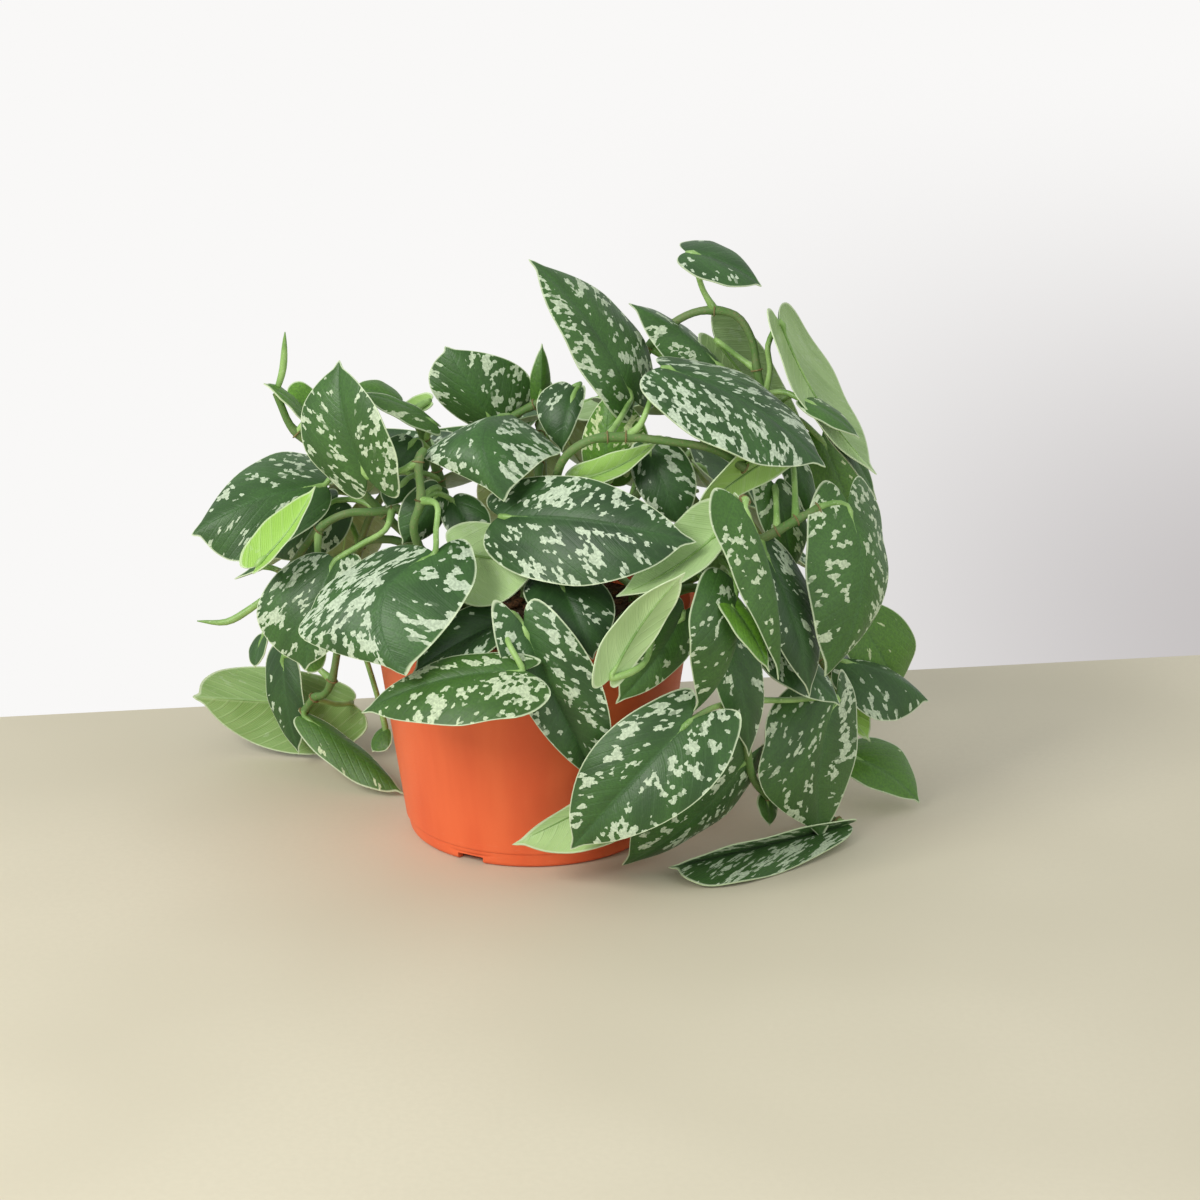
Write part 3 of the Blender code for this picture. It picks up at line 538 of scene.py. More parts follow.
VINE_UPPER_LEFT = Vine(
    "vine_upper_left", (-20, 10),
    (
        seen(455, 540, 6), seen(440, 480, 2), seen(425, 440, 0), seen(412, 415, -2),
    ),
    (
        Leaf(3, seen(400, 402, 0), seen(352, 388, -6), (seen(382, 382, 6), seen(380, 402, -8)), 2),
        Leaf(2, seen(436, 424, -8), seen(357, 392, -18), (seen(410, 404, -8), seen(408, 424, -22)),
             3),
        Leaf(3, seen(430, 402, 6), seen(398, 408, 2), (seen(420, 394, 10), seen(420, 412, 0)), 1,
             under=True),
        Leaf(1.6, seen(414, 440, -10), seen(392, 474, -20), (seen(384, 444, -14), seen(420, 456, -14)),
             2),
        Leaf(1, seen(408, 478, -14), seen(386, 508, -22), (seen(383, 486, -16), seen(414, 494, -16)),
             2),
        grown(1.2, at(-46, 30, 172), 122, 54, 42, 4),
    ),
)

VINE_CENTRE_RIGHT = Vine(
    "vine_centre_right", (24, -12),
    (
        seen(598, 560, -14), seen(606, 515, -20), seen(606, 484, -20),
    ),
    (
        Leaf(2, seen(580, 481, -27), seen(660, 440, -34), (seen(596, 458, -18), seen(606, 482, -38)),
             3, under=True),
        Leaf(2, seen(605, 481, -16), seen(612, 387, -8), (seen(582, 446, -8), seen(648, 444, -14)),
             4),
        Leaf(2, seen(646, 445, -20), seen(682, 528, -34), (seen(692, 466, -26), seen(636, 486, -28)),
             4),
        Leaf(0, seen(610, 678, -104), seen(685, 572, -96), (seen(606, 636, -106), seen(656, 636, -94)),
             4, under=True, via=(seen(648, 606, -56), seen(646, 660, -92))),
        Leaf(0, seen(684, 612, -66), seen(616, 704, -86), (seen(640, 628, -80), seen(690, 652, -70)),
             4, via=(seen(640, 590, -50),)),
    ),
)

VINE_FRONT_RIGHT = Vine(
    "vine_front_right", (38, -26),
    (
        seen(680, 572, -44), seen(715, 535, -50), seen(736, 510, -60), seen(745, 500, -64),
    ),
    (
        Leaf(3, seen(746, 507, -68), seen(779, 680, -86), (seen(722, 550, -84), seen(759, 560, -66)),
             7),
        Leaf(1, seen(728, 600, -80), seen(770, 672, -88), (seen(750, 612, -78), seen(732, 628, -92)),
             2, via=(seen(724, 570, -62),)),
        Leaf(0.6, seen(735, 583, -74), seen(694, 712, -86), (seen(690, 624, -96), seen(722, 618, -76)),
             10),
        Leaf(0.8, seen(735, 562, -64), seen(704, 588, -72), (seen(712, 560, -62), seen(732, 588, -76)),
             2, under=True),
        Leaf(1.2, seen(722, 530, -60), seen(616, 597, -80), (seen(684, 514, -58), seen(696, 574, -82)),
             6, under=True),
        Leaf(0.2, seen(722, 620, -66), seen(749, 757, -70), (seen(708, 664, -72), seen(760, 660, -60)),
             6),
    ),
)

VINE_RIGHT = Vine(
    "vine_right", (48, 0),
    (
        seen(700, 575, -14), seen(735, 553, -28), seen(760, 540, -36), seen(777, 531, -38),
        seen(796, 520, -36), seen(818, 508, -32),
    ),
    (
        Leaf(5, seen(848, 505, -28), seen(825, 677, -52), (seen(806, 550, -44), seen(883, 538, -14)),
             7, lobe=1.2, through=seen(846, 595, -34)),
        Leaf(2, seen(765, 550, -42), seen(810, 697, -54), (seen(754, 596, -54), seen(812, 596, -36)),
             5),
        Leaf(4, seen(792, 452, -6), seen(812, 520, -12), (seen(782, 474, -8), seen(812, 476, -2)),
             2),
        Leaf(3, seen(775, 485, -16), seen(787, 578, -28), (seen(756, 508, -27), seen(806, 520, -16)),
             4),
        Leaf(1, seen(768, 640, -34), seen(841, 706, -40), (seen(802, 648, -26), seen(776, 680, -48)),
             3),
    ),
)

VINE_LOW_RIGHT = Vine(
    "vine_low_right", (54, -22),
    (
        at(66, -32, 122), at(80, -42, 124), at(94, -52, 108), seen(742, 700, -60),
        seen(746, 740, -56), seen(752, 775, -48), seen(768, 795, -36), laid(800, 808, 6),
        laid(838, 822, 6),
    ),
    (
        Leaf(3, seen(837, 697, -16), seen(822, 838, -30), (seen(765, 742, -46), seen(857, 714, -8)),
             6, via=(seen(790, 700, -40),), through=seen(816, 768, -34)),
        Leaf(3.4, seen(748, 757, -52), seen(622, 866, -62), (seen(672, 752, -76), seen(738, 800, -40)),
             6),
        Leaf(3, seen(690, 721, -88), seen(570, 850, -94), (seen(602, 738, -90), seen(708, 790, -104)),
             9, via=(seen(712, 708, -74),), lobe=1.5),
        Leaf(2.4, seen(650, 770, -74), seen(512, 845, -80), (seen(590, 792, -72), seen(620, 838, -88)),
             4, under=True, via=(seen(700, 750, -66),)),
        Leaf(8, laid(847, 824, 6), laid(669, 867, 5), (laid(770, 836, 12), laid(752, 880, 1.2)),
             -1),
        Leaf(6, seen(766, 796, -36), seen(770, 826, -34), (seen(758, 808, -40), seen(777, 808, -30)),
             1),
    ),
)

VINE_RIGHT_BACK = Vine(
    "vine_right_back", (46, 24),
    (
        at(58, 32, 120), at(82, 42, 122), at(98, 46, 104), seen(822, 660, 24), seen(828, 700, 20),
        seen(834, 742, 18),
    ),
    (
        Leaf(2, seen(848, 610, 32), seen(895, 694, 36), (seen(912, 632, 46), seen(850, 660, 22)),
             6),
        Leaf(3, seen(840, 660, 18), seen(929, 701, 24), (seen(876, 662, 36), seen(874, 718, 4)),
             5),
        Leaf(3.4, seen(832, 680, 14), seen(870, 742, 12), (seen(862, 692, 22), seen(842, 716, 10)),
             3, under=True),
        Leaf(5, seen(852, 756, 16), seen(920, 803, 12), (seen(892, 744, 32), seen(862, 784, 4)),
             4),
    ),
)

FRONT_VINES = (
    VINE_TOP_RIGHT, VINE_FRONT_TOP, VINE_LEFT_FRONT, VINE_FAR_LEFT, VINE_LEFT, VINE_LOW_LEFT,
    VINE_FRONT_LEFT, VINE_CENTRE, VINE_TOP_CENTRE, VINE_UPPER_LEFT, VINE_CENTRE_RIGHT,
    VINE_FRONT_RIGHT, VINE_RIGHT, VINE_LOW_RIGHT, VINE_RIGHT_BACK,
)

# A back vine's stem: how far out from its root, and how high. Each leaf has its place on the
# stem, its swing from the stem's heading and its tip's drop.
BACK_STEM = ((8, 120), (26, 140), (48, 142), (68, 122), (80, 94), (84, 64))
BACK_STALK = 20.0
BACK_LENGTH = 62.0
BACK_BOW = 7.0
BACK_VINES = (
    ("vine_back_left", (-26, 30), 138, 4, (
        (0.7, -34, 12), (1.4, 38, 24), (2.1, -26, 32), (2.9, 36, 44), (3.7, -26, 48), (4.7, -14, 50),
    ), 3),
    ("vine_back", (2, 44), 89, 22, (
        (0.5, 44, 6), (1.2, -42, 14), (2.0, 30, 30), (2.8, -28, 42), (3.6, 26, 48), (4.7, -16, 50),
    ), 5),
    ("vine_back_right", (30, 34), 44, 2, (
        (0.7, 34, 12), (1.4, -38, 22), (2.1, 26, 30), (2.9, -40, 42), (3.7, 26, 48), (4.7, -14, 50),
    ), 8),
)


def back_vine(name, root, heading, rise, levels, seed):
    """A vine behind the pot: its stem leans back over the rim, with leaves on both sides."""
    draw = random.Random(seed)
    turn = math.radians(heading)
    out = Vector((math.cos(turn), math.sin(turn), 0.0))
    stem = [at(*root, 0) + out * reach + Vector((0, 0, height + rise)) for reach, height in BACK_STEM]
    leaves = []
    for place, swing, height_drop in levels:
        start = path_spot(stem, place)
        leaf_heading = heading + swing
        leaf_turn = math.radians(leaf_heading)
        aim = Vector((math.cos(leaf_turn), math.sin(leaf_turn), 0.35))
        base = start + aim * BACK_STALK * draw.uniform(0.85, 1.15)
        length = BACK_LENGTH * draw.uniform(0.88, 1.08)
        leaves.append(grown(
            place, base, leaf_heading, length, length * 0.78, height_drop,
            roll=draw.uniform(-15, 15), bow=BACK_BOW,
        ))
    return Vine(name, root, tuple(stem), tuple(leaves))


# How each leaf looks: silver is how much of it the silver marks cover; lime how far its green
# turns to bright yellow green, partly a young leaf's own colour and partly painted glow of light
# shining through the leaf; and pale how light its green is, partly its own tone and partly
# painted shade on leaves that hang in shade
Look = namedtuple("Look", "silver lime pale wave", defaults=(0.0, 0.5, 1.0))
PLAIN_LOOK = Look(0.5, 0.06)
LOOKS = {
    "vine_top_right": (
        Look(0.5), Look(0.2, 0.1, 0.45), Look(0.3, 0.1, 0.55), Look(0.3, 0.2), Look(0.3, 0.15, 0.6),
        Look(0.05, 0.5), Look(0.95, 0.1), Look(0.5, 0.1),
    ),
    "vine_front_top": (Look(1.0), Look(0.85, 0.1), Look(0.4, 0.7, 0.6)),
    "vine_left_front": (Look(0.75, 0.1), Look(1.1, 0.0, 0.6), Look(0.4), Look(0.6)),
    "vine_far_left": (Look(0.2, 0.6), Look(0.2, 0.8), Look(0.7, 0.05), Look(0.6)),
    "vine_left": (Look(0.75, 0.05), Look(0.5, 0.95, 0.8), Look(0.1, 0.7), Look(0.3)),
    "vine_low_left": (
        Look(0.1, 0.2, 0.2), Look(0.1, 0.0, 0.1), Look(0.1, 0.35, 0.3), Look(0.1, 0.4),
    ),
    "vine_front_left": (
        Look(0.8, 0.22, 0.05), Look(0.85, 0.0), Look(0.7, 0.0, 0.1), Look(0.45, 0.12, 1.1),
    ),
    "vine_centre": (Look(0.85, 0.0, 0.05), Look(1.0, 0.0, 0.7), Look(0.35, 0.0, 0.1)),
    "vine_top_centre": (Look(0.85, 0.1), Look(0.4, 0.4), Look(0.7, 0.0, 0.3), Look(0.6)),
    "vine_upper_left": (
        Look(0.2, 0.4), Look(0.3, 0.3), Look(0.2, 0.5), Look(0.5), Look(0.4), Look(0.6, 0.0, 0.2),
    ),
    "vine_centre_right": (
        Look(0.3, 0.8), Look(0.8, 0.6, 0.8), Look(0.8), Look(0.1, 0.1, 1.0), Look(0.5, 0.15),
    ),
    "vine_front_right": (
        Look(0.7, 0.2), Look(0.2, 0.8), Look(0.5, 0.1), Look(0.1, 0.3, 0.8), Look(0.1, 0.1, 0.9),
        Look(0.6),
    ),
    "vine_right": (
        Look(0.75, 0.15, 0.7), Look(0.85, 0.0, 0.3), Look(0.8, 0.1), Look(0.7, 0.2), Look(0.6),
    ),
    "vine_low_right": (
        Look(0.8, 0.12, 0.4), Look(0.85, 0.05), Look(0.75, 0.05, 0.25), Look(0.2, 0.25, 0.9),
        Look(0.9, 0.1), Look(0.3, 0.2),
    ),
    "vine_right_back": (
        Look(0.02, 0.55, 0.0), Look(0.6, 0.05), Look(0.1, 0.9, 0.8), Look(0.1, 0.5, 0.3),
    ),
}


def add_node(tree, kind, inputs=None, **settings):
    """A shader node; its inputs are values, or sockets that are linked to it."""
    node = tree.nodes.new("ShaderNode" + kind)
    for name, value in settings.items():
        setattr(node, name, value)
    for name, value in (inputs or {}).items():
        socket = node.inputs[name]
        if isinstance(value, bpy.types.NodeSocket):
            tree.links.new(value, socket)
        else:
            socket.default_value = value
    return node


def calc(tree, operation, first, second=0.0, third=0.0, clamp=False):
    values = {0: first, 1: second}
    if operation in ("MULTIPLY_ADD", "SMOOTH_MIN", "COMPARE"):
        values[2] = third
    return add_node(tree, "Math", values, operation=operation, use_clamp=clamp).outputs[0]


def ramp(tree, value, low, high, low_value=0.0, high_value=1.0):
    """A smooth step from one value to another."""
    return add_node(
        tree, "MapRange",
        {"Value": value, "From Min": low, "From Max": high, "To Min": low_value, "To Max": high_value},
        interpolation_type="SMOOTHSTEP",
    ).outputs["Result"]


def mix(tree, share, first, second, blend="MIX"):
    node = add_node(tree, "Mix", data_type="RGBA", blend_type=blend, clamp_factor=True)
    for name, value in (("Factor_Float", share), ("A_Color", first), ("B_Color", second)):
        socket = next(item for item in node.inputs if item.identifier == name)
        if isinstance(value, bpy.types.NodeSocket):
            tree.links.new(value, socket)
        else:
            socket.default_value = value
    return next(item for item in node.outputs if item.identifier == "Result_Color")


def cloud(tree, place, scale, detail=2.0, distortion=0.0, roughness=0.5):
    """Soft noise at a place, with its size in waves a unit."""
    return add_node(
        tree, "TexNoise",
        {"Vector": place, "Scale": scale, "Detail": detail, "Distortion": distortion,
         "Roughness": roughness},
    ).outputs["Fac"]


def attribute(tree, name):
    return add_node(tree, "Attribute", attribute_name=name, attribute_type="GEOMETRY")


def split(tree, vector):
    return add_node(tree, "SeparateXYZ", {"Vector": vector}).outputs


def joined(tree, x, y, z):
    return add_node(tree, "CombineXYZ", {"X": x, "Y": y, "Z": z}).outputs[0]


def object_place(tree):
    """Object coordinates in millimetres."""
    place = add_node(tree, "TexCoord").outputs["Object"]
    return add_node(
        tree, "VectorMath", {0: place, "Scale": 1 / MM}, operation="SCALE",
    ).outputs["Vector"]


def bump(tree, height, distance, strength=1.0):
    """A normal from a height; distance is the height's full depth in millimetres."""
    return add_node(
        tree, "Bump", {"Height": height, "Distance": distance * MM, "Strength": strength},
    ).outputs["Normal"]


def new_material(name, **constants):
    """A material with a Principled BSDF, and the constants set on its own sockets."""
    material = bpy.data.materials.new(name)
    material.use_nodes = True
    tree = material.node_tree
    shader = tree.nodes["Principled BSDF"]
    for socket, value in constants.items():
        shader.inputs[socket.replace("_", " ")].default_value = value
    return material, tree, shader


def new_group(name, inputs, outputs):
    """A shader node group with named sockets; returns its tree, inputs and output node."""
    tree = bpy.data.node_groups.new(name, "ShaderNodeTree")
    for socket, kind in inputs:
        tree.interface.new_socket(socket, in_out="INPUT", socket_type="NodeSocket" + kind)
    for socket, kind in outputs:
        tree.interface.new_socket(socket, in_out="OUTPUT", socket_type="NodeSocket" + kind)
    return tree, tree.nodes.new("NodeGroupInput").outputs, tree.nodes.new("NodeGroupOutput").inputs


def place_group(tree, group, inputs):
    node = tree.nodes.new("ShaderNodeGroup")
    node.node_tree = group
    for name, value in inputs.items():
        if isinstance(value, bpy.types.NodeSocket):
            tree.links.new(value, node.inputs[name])
        else:
            node.inputs[name].default_value = value
    return node.outputs


def marks_group():
    """Silver marks: ragged patches drawn out along the side veins, none along the midrib."""
    tree, given, result = new_group(
        "silver_marks",
        (("Mark Place", "Vector"), ("Out", "Float"), ("Silver", "Float")),
        (("Mask", "Float"),),
    )
    over, on, seed = split(tree, given["Mark Place"])[:3]
    cells = joined(
        tree, calc(tree, "MULTIPLY", over, 1 / CELL_WIDTH), calc(tree, "MULTIPLY", on, 1 / CELL_LENGTH),
        seed,
    )
    rough = add_node(tree, "TexNoise", {"Vector": cells, "Scale": 1.9, "Detail": 1.0}).outputs["Color"]
    bent = add_node(
        tree, "VectorMath", {0: rough, 1: (0.7, 0.7, 0.0), 2: cells}, operation="MULTIPLY_ADD",
    ).outputs[0]
    cell = add_node(tree, "TexVoronoi", {"Vector": bent, "Scale": 1.0})
    patches = cloud(tree, cell.outputs["Position"], 0.4, 1.0, 0.0, 0.5)
    regions = cloud(tree, cell.outputs["Position"], 0.13, 1.0)
    chance = split(tree, cell.outputs["Color"])[0]
    total = calc(tree, "MULTIPLY_ADD", regions, 0.55, patches)
    total = calc(tree, "MULTIPLY_ADD", chance, 0.14, total)
    total = calc(tree, "SUBTRACT", total, ramp(tree, given["Out"], 1.0, 5.5, 0.3, 0.0))
    edge = calc(tree, "MULTIPLY_ADD", given["Silver"], -0.2, 1.085)
    over = calc(tree, "SUBTRACT", total, edge)
    tree.links.new(ramp(tree, over, -0.004, 0.01), result["Mask"])
    return tree


def veins_group():
    """Side veins that sweep forward from the midrib, and the fine lines between them."""
    tree, given, result = new_group(
        "side_veins",
        (("Vein Place", "Vector"), ("Spacing", "Float")),
        (("Vein", "Float"), ("Lines", "Float"), ("Midrib", "Float")),
    )
    vein, out, seed = split(tree, given["Vein Place"])[:3]
    near = joined(tree, calc(tree, "MULTIPLY", vein, 0.05), calc(tree, "MULTIPLY", out, 0.06), seed)
    sway = cloud(tree, near, 1.0, 1.0)
    bent = calc(tree, "MULTIPLY_ADD", sway, 5.0, vein)
    part = calc(tree, "FRACT", calc(tree, "DIVIDE", bent, given["Spacing"]))
    away = calc(tree, "ABSOLUTE", calc(tree, "SUBTRACT", part, 0.5))
    tree.links.new(ramp(tree, away, 0.02, 0.16, 1.0, 0.0), result["Vein"])
    lines = calc(tree, "SINE", calc(tree, "MULTIPLY", bent, 5.2))
    tree.links.new(calc(tree, "MULTIPLY_ADD", lines, 0.5, 0.5), result["Lines"])
    tree.links.new(ramp(tree, out, 0.25, 1.3, 1.0, 0.0), result["Midrib"])
    return tree


def grain_group():
    """Fine grain of a surface on Object coordinates, from its size in millimetres."""
    tree, given, result = new_group(
        "surface_grain",
        (("Place", "Vector"), ("Size", "Float")),
        (("Fine", "Float"), ("Broad", "Float")),
    )
    scale = calc(tree, "DIVIDE", 1.0, given["Size"])
    tree.links.new(cloud(tree, given["Place"], scale, 3.0), result["Fine"])
    wide = calc(tree, "MULTIPLY", scale, 0.09)
    tree.links.new(cloud(tree, given["Place"], wide, 2.0), result["Broad"])
    return tree


def silver_mask(tree, marks, out, silver):
    mark_place = attribute(tree, "mark_place").outputs["Vector"]
    values = {"Mark Place": mark_place, "Out": out, "Silver": silver}
    return place_group(tree, marks, values)["Mask"]


def blade_inputs(tree):
    """What a blade's points carry: its place among the veins, and how the leaf looks."""
    vein_place = attribute(tree, "vein_place").outputs["Vector"]
    silver, lime, inset = split(tree, attribute(tree, "traits").outputs["Vector"])[:3]
    return vein_place, silver, lime, inset, attribute(tree, "pale").outputs["Fac"]


def leaf_upper(marks, veins, grain):
    material, tree, shader = new_material(
        "leaf_upper", Roughness=0.5, Specular_IOR_Level=0.42, Sheen_Weight=0.05,
        Sheen_Roughness=0.4,
    )
    vein_place, silver, lime, inset, pale = blade_inputs(tree)
    lines = place_group(tree, veins, {"Vein Place": vein_place, "Spacing": 7.5})
    vein, out, seed = split(tree, vein_place)[:3]
    mask = silver_mask(tree, marks, out, silver)
    patch = cloud(tree, joined(
        tree, calc(tree, "MULTIPLY", vein, 0.045), calc(tree, "MULTIPLY", out, 0.07), seed,
    ), 1.0, 2.0)
    # Pale lightens or darkens the green: partly the leaf's own tone, partly painted shade on leaves that hang
    # in shade
    tone = calc(tree, "MULTIPLY_ADD", ramp(tree, patch, 0.3, 0.7), 0.55, calc(
        tree, "MULTIPLY_ADD", pale, 0.7, -0.1,
    ), clamp=True)
    green = mix(tree, tone, DEEP_GREEN, MID_GREEN)
    # Lime, here and in the marks' tint: partly a young leaf's own colour, partly painted glow of light
    # shining through the leaf
    green = mix(tree, lime, green, LIME_GREEN)
    green = mix(tree, calc(tree, "MULTIPLY", lines["Vein"], 0.05), green, VEIN_GREEN)
    green = mix(tree, calc(tree, "MULTIPLY", lines["Lines"], 0.06), green, VEIN_GREEN)
    green = mix(tree, calc(tree, "MULTIPLY", lines["Midrib"], 0.3), green, MIDRIB_GREEN)
    tint = mix(tree, lime, SILVER, LIME_SILVER)
    marked = mix(tree, calc(tree, "MULTIPLY", mask, 0.93), green, tint)
    grains = place_group(tree, grain, {"Place": object_place(tree), "Size": 1.1})
    shade = ramp(tree, grains["Fine"], 0.36, 0.64, 0.3, 0.0)
    marked = mix(tree, shade, marked, GRAIN_GREEN)
    border = ramp(tree, inset, 0.2, 0.7, 0.75, 0.0)
    tree.links.new(mix(tree, border, marked, MARGIN), shader.inputs["Base Color"])
    tree.links.new(ramp(tree, mask, 0.0, 1.0, 0.44, 0.6), shader.inputs["Roughness"])
    height = calc(tree, "MULTIPLY_ADD", lines["Vein"], -0.3, calc(tree, "MULTIPLY", lines["Lines"], 0.1))
    height = calc(tree, "MULTIPLY_ADD", patch, 1.2, height)
    height = calc(tree, "MULTIPLY_ADD", mask, 0.12, height)
    height = calc(tree, "MULTIPLY_ADD", grains["Fine"], 0.6, height)
    tree.links.new(bump(tree, height, 0.35, 0.6), shader.inputs["Normal"])
    return material


def leaf_under(marks, veins):
    material, tree, shader = new_material(
        "leaf_under", Roughness=0.55, Specular_IOR_Level=0.35, Sheen_Weight=0.08,
    )
    vein_place, silver, lime, inset, pale = blade_inputs(tree)
    lines = place_group(tree, veins, {"Vein Place": vein_place, "Spacing": 7.5})
    vein, out, seed = split(tree, vein_place)[:3]
    mask = silver_mask(tree, marks, out, silver)
    patch = cloud(tree, joined(
        tree, calc(tree, "MULTIPLY", vein, 0.05), calc(tree, "MULTIPLY", out, 0.07), seed,
    ), 1.0, 2.0)
    # Pale lightens or darkens the green: partly the leaf's own tone, partly painted shade on leaves that hang
    # in shade
    tone = calc(tree, "MULTIPLY_ADD", ramp(tree, patch, 0.3, 0.7), 0.3, calc(
        tree, "MULTIPLY_ADD", pale, 0.9, -0.1,
    ), clamp=True)
    green = mix(tree, tone, UNDER_GREEN, UNDER_PALE)
    # Lime on the lower face: partly a young leaf's own colour, partly painted glow of light shining through
    # the leaf
    green = mix(tree, calc(tree, "MULTIPLY", lime, 0.85), green, UNDER_LIME)
    green = mix(tree, calc(tree, "MULTIPLY", lines["Vein"], 0.16), green, UNDER_VEIN)
    green = mix(tree, calc(tree, "MULTIPLY", lines["Lines"], 0.14), green, UNDER_VEIN)
    green = mix(tree, calc(tree, "MULTIPLY", mask, 0.15), green, SILVER)
    green = mix(tree, calc(tree, "MULTIPLY", lines["Midrib"], 0.5), green, UNDER_PALE)
    border = ramp(tree, inset, 0.35, 0.85, 0.7, 0.0)
    tree.links.new(mix(tree, border, green, MARGIN), shader.inputs["Base Color"])
    height = calc(tree, "MULTIPLY_ADD", lines["Vein"], 0.6, calc(tree, "MULTIPLY", lines["Lines"], 0.3))
    tree.links.new(bump(tree, height, 0.3, 0.7), shader.inputs["Normal"])
    return material


def leaf_margin(grain):
    material, tree, shader = new_material("leaf_margin", Roughness=0.55)
    grains = place_group(tree, grain, {"Place": object_place(tree), "Size": 1.5})
    tree.links.new(mix(tree, grains["Fine"], MARGIN, MARGIN_SHADE), shader.inputs["Base Color"])
    tree.links.new(bump(tree, grains["Fine"], 0.1, 0.4), shader.inputs["Normal"])
    return material


def green_stalk(grain):
    """Young stalks and the stem's green length, with fine long flecks."""
    material, tree, shader = new_material("green_stalk", Roughness=0.42, Specular_IOR_Level=0.45)
    grains = place_group(tree, grain, {"Place": object_place(tree), "Size": 1.1})
    tone = mix(tree, ramp(tree, grains["Broad"], 0.3, 0.7), STALK_GREEN, STALK_PALE)
    fleck = ramp(tree, grains["Fine"], 0.58, 0.72, 0.0, 0.35)
    tree.links.new(mix(tree, fleck, tone, MARGIN), shader.inputs["Base Color"])
    tree.links.new(ramp(tree, grains["Fine"], 0.3, 0.7, 0.36, 0.5), shader.inputs["Roughness"])
    tree.links.new(bump(tree, grains["Fine"], 0.12, 0.5), shader.inputs["Normal"])
    return material


def old_stem(grain):
    """The older stem: olive green with corky flecks."""
    material, tree, shader = new_material("old_stem", Roughness=0.55, Specular_IOR_Level=0.35)
    grains = place_group(tree, grain, {"Place": object_place(tree), "Size": 0.9})
    tone = mix(tree, ramp(tree, grains["Broad"], 0.35, 0.65), STEM_GREEN, STEM_OLIVE)
    cork = ramp(tree, grains["Fine"], 0.56, 0.68, 0.0, 0.7)
    tree.links.new(mix(tree, cork, tone, CORK), shader.inputs["Base Color"])
    tree.links.new(ramp(tree, grains["Fine"], 0.3, 0.7, 0.45, 0.68), shader.inputs["Roughness"])
    tree.links.new(bump(tree, grains["Fine"], 0.2, 0.7), shader.inputs["Normal"])
    return material


def dry_scar(grain):
    """Dry brown skin at a joint of the stem."""
    material, tree, shader = new_material("dry_scar", Roughness=0.8, Specular_IOR_Level=0.2)
    grains = place_group(tree, grain, {"Place": object_place(tree), "Size": 0.7})
    tree.links.new(
        mix(tree, ramp(tree, grains["Fine"], 0.35, 0.65), CORK, DRY_SKIN),
        shader.inputs["Base Color"],
    )
    tree.links.new(bump(tree, grains["Fine"], 0.3, 0.8), shader.inputs["Normal"])
    return material


def orange_plastic(grain):
    """Moulded plastic: fine grain, faint flow streaks and scuffs near the foot."""
    material, tree, shader = new_material("orange_plastic", Roughness=0.5, Specular_IOR_Level=0.4)
    place = object_place(tree)
    grains = place_group(tree, grain, {"Place": place, "Size": 0.55})
    x, y, z = split(tree, place)[:3]
    streaks = cloud(tree, joined(
        tree, calc(tree, "MULTIPLY", x, 0.05), calc(tree, "MULTIPLY", y, 0.05),
        calc(tree, "MULTIPLY", z, 0.006),
    ), 1.0, 3.0)
    tone = mix(tree, ramp(tree, streaks, 0.3, 0.7), POT_ORANGE, POT_DEEP)
    low = ramp(tree, z, 2.0, 16.0, 1.0, 0.0)
    scuff = cloud(tree, joined(
        tree, calc(tree, "MULTIPLY", x, 0.22), calc(tree, "MULTIPLY", y, 0.22),
        calc(tree, "MULTIPLY", z, 0.9),
    ), 1.0, 4.0, 0.3)
    worn = calc(tree, "MULTIPLY", ramp(tree, scuff, 0.6, 0.72), low)
    tone = mix(tree, calc(tree, "MULTIPLY", worn, 0.3), tone, POT_SCUFF)
    dust = calc(tree, "MULTIPLY", ramp(tree, grains["Fine"], 0.55, 0.8), 0.12)
    tree.links.new(mix(tree, dust, tone, POT_SCUFF), shader.inputs["Base Color"])
    rough = calc(tree, "MULTIPLY_ADD", worn, 0.15, ramp(tree, grains["Fine"], 0.3, 0.7, 0.42, 0.55))
    tree.links.new(rough, shader.inputs["Roughness"])
    height = calc(tree, "MULTIPLY_ADD", streaks, 1.5, grains["Fine"])
    tree.links.new(bump(tree, height, 0.06, 0.6), shader.inputs["Normal"])
    return material


def potting_soil(grain):
    material, tree, shader = new_material("potting_soil", Roughness=0.95, Specular_IOR_Level=0.15)
    place = object_place(tree)
    grains = place_group(tree, grain, {"Place": place, "Size": 0.8})
    crumbs = add_node(tree, "TexVoronoi", {"Vector": place, "Scale": 0.45}).outputs
    tone = mix(tree, ramp(tree, grains["Fine"], 0.3, 0.7), SOIL_DARK, SOIL_BROWN)
    tone = mix(tree, ramp(tree, crumbs["Distance"], 0.25, 0.8, 0.0, 0.6), tone, SOIL_LIGHT)
    tree.links.new(tone, shader.inputs["Base Color"])
    height = calc(tree, "MULTIPLY_ADD", crumbs["Distance"], -0.8, grains["Fine"])
    tree.links.new(bump(tree, height, 0.8, 0.9), shader.inputs["Normal"])
    return material


def chip_material(name, dark, light, grain, size):
    material, tree, shader = new_material(name, Roughness=0.85, Specular_IOR_Level=0.2)
    grains = place_group(tree, grain, {"Place": object_place(tree), "Size": size})
    tree.links.new(
        mix(tree, ramp(tree, grains["Fine"], 0.3, 0.7), dark, light), shader.inputs["Base Color"],
    )
    tree.links.new(bump(tree, grains["Fine"], 0.4, 0.8), shader.inputs["Normal"])
    return material


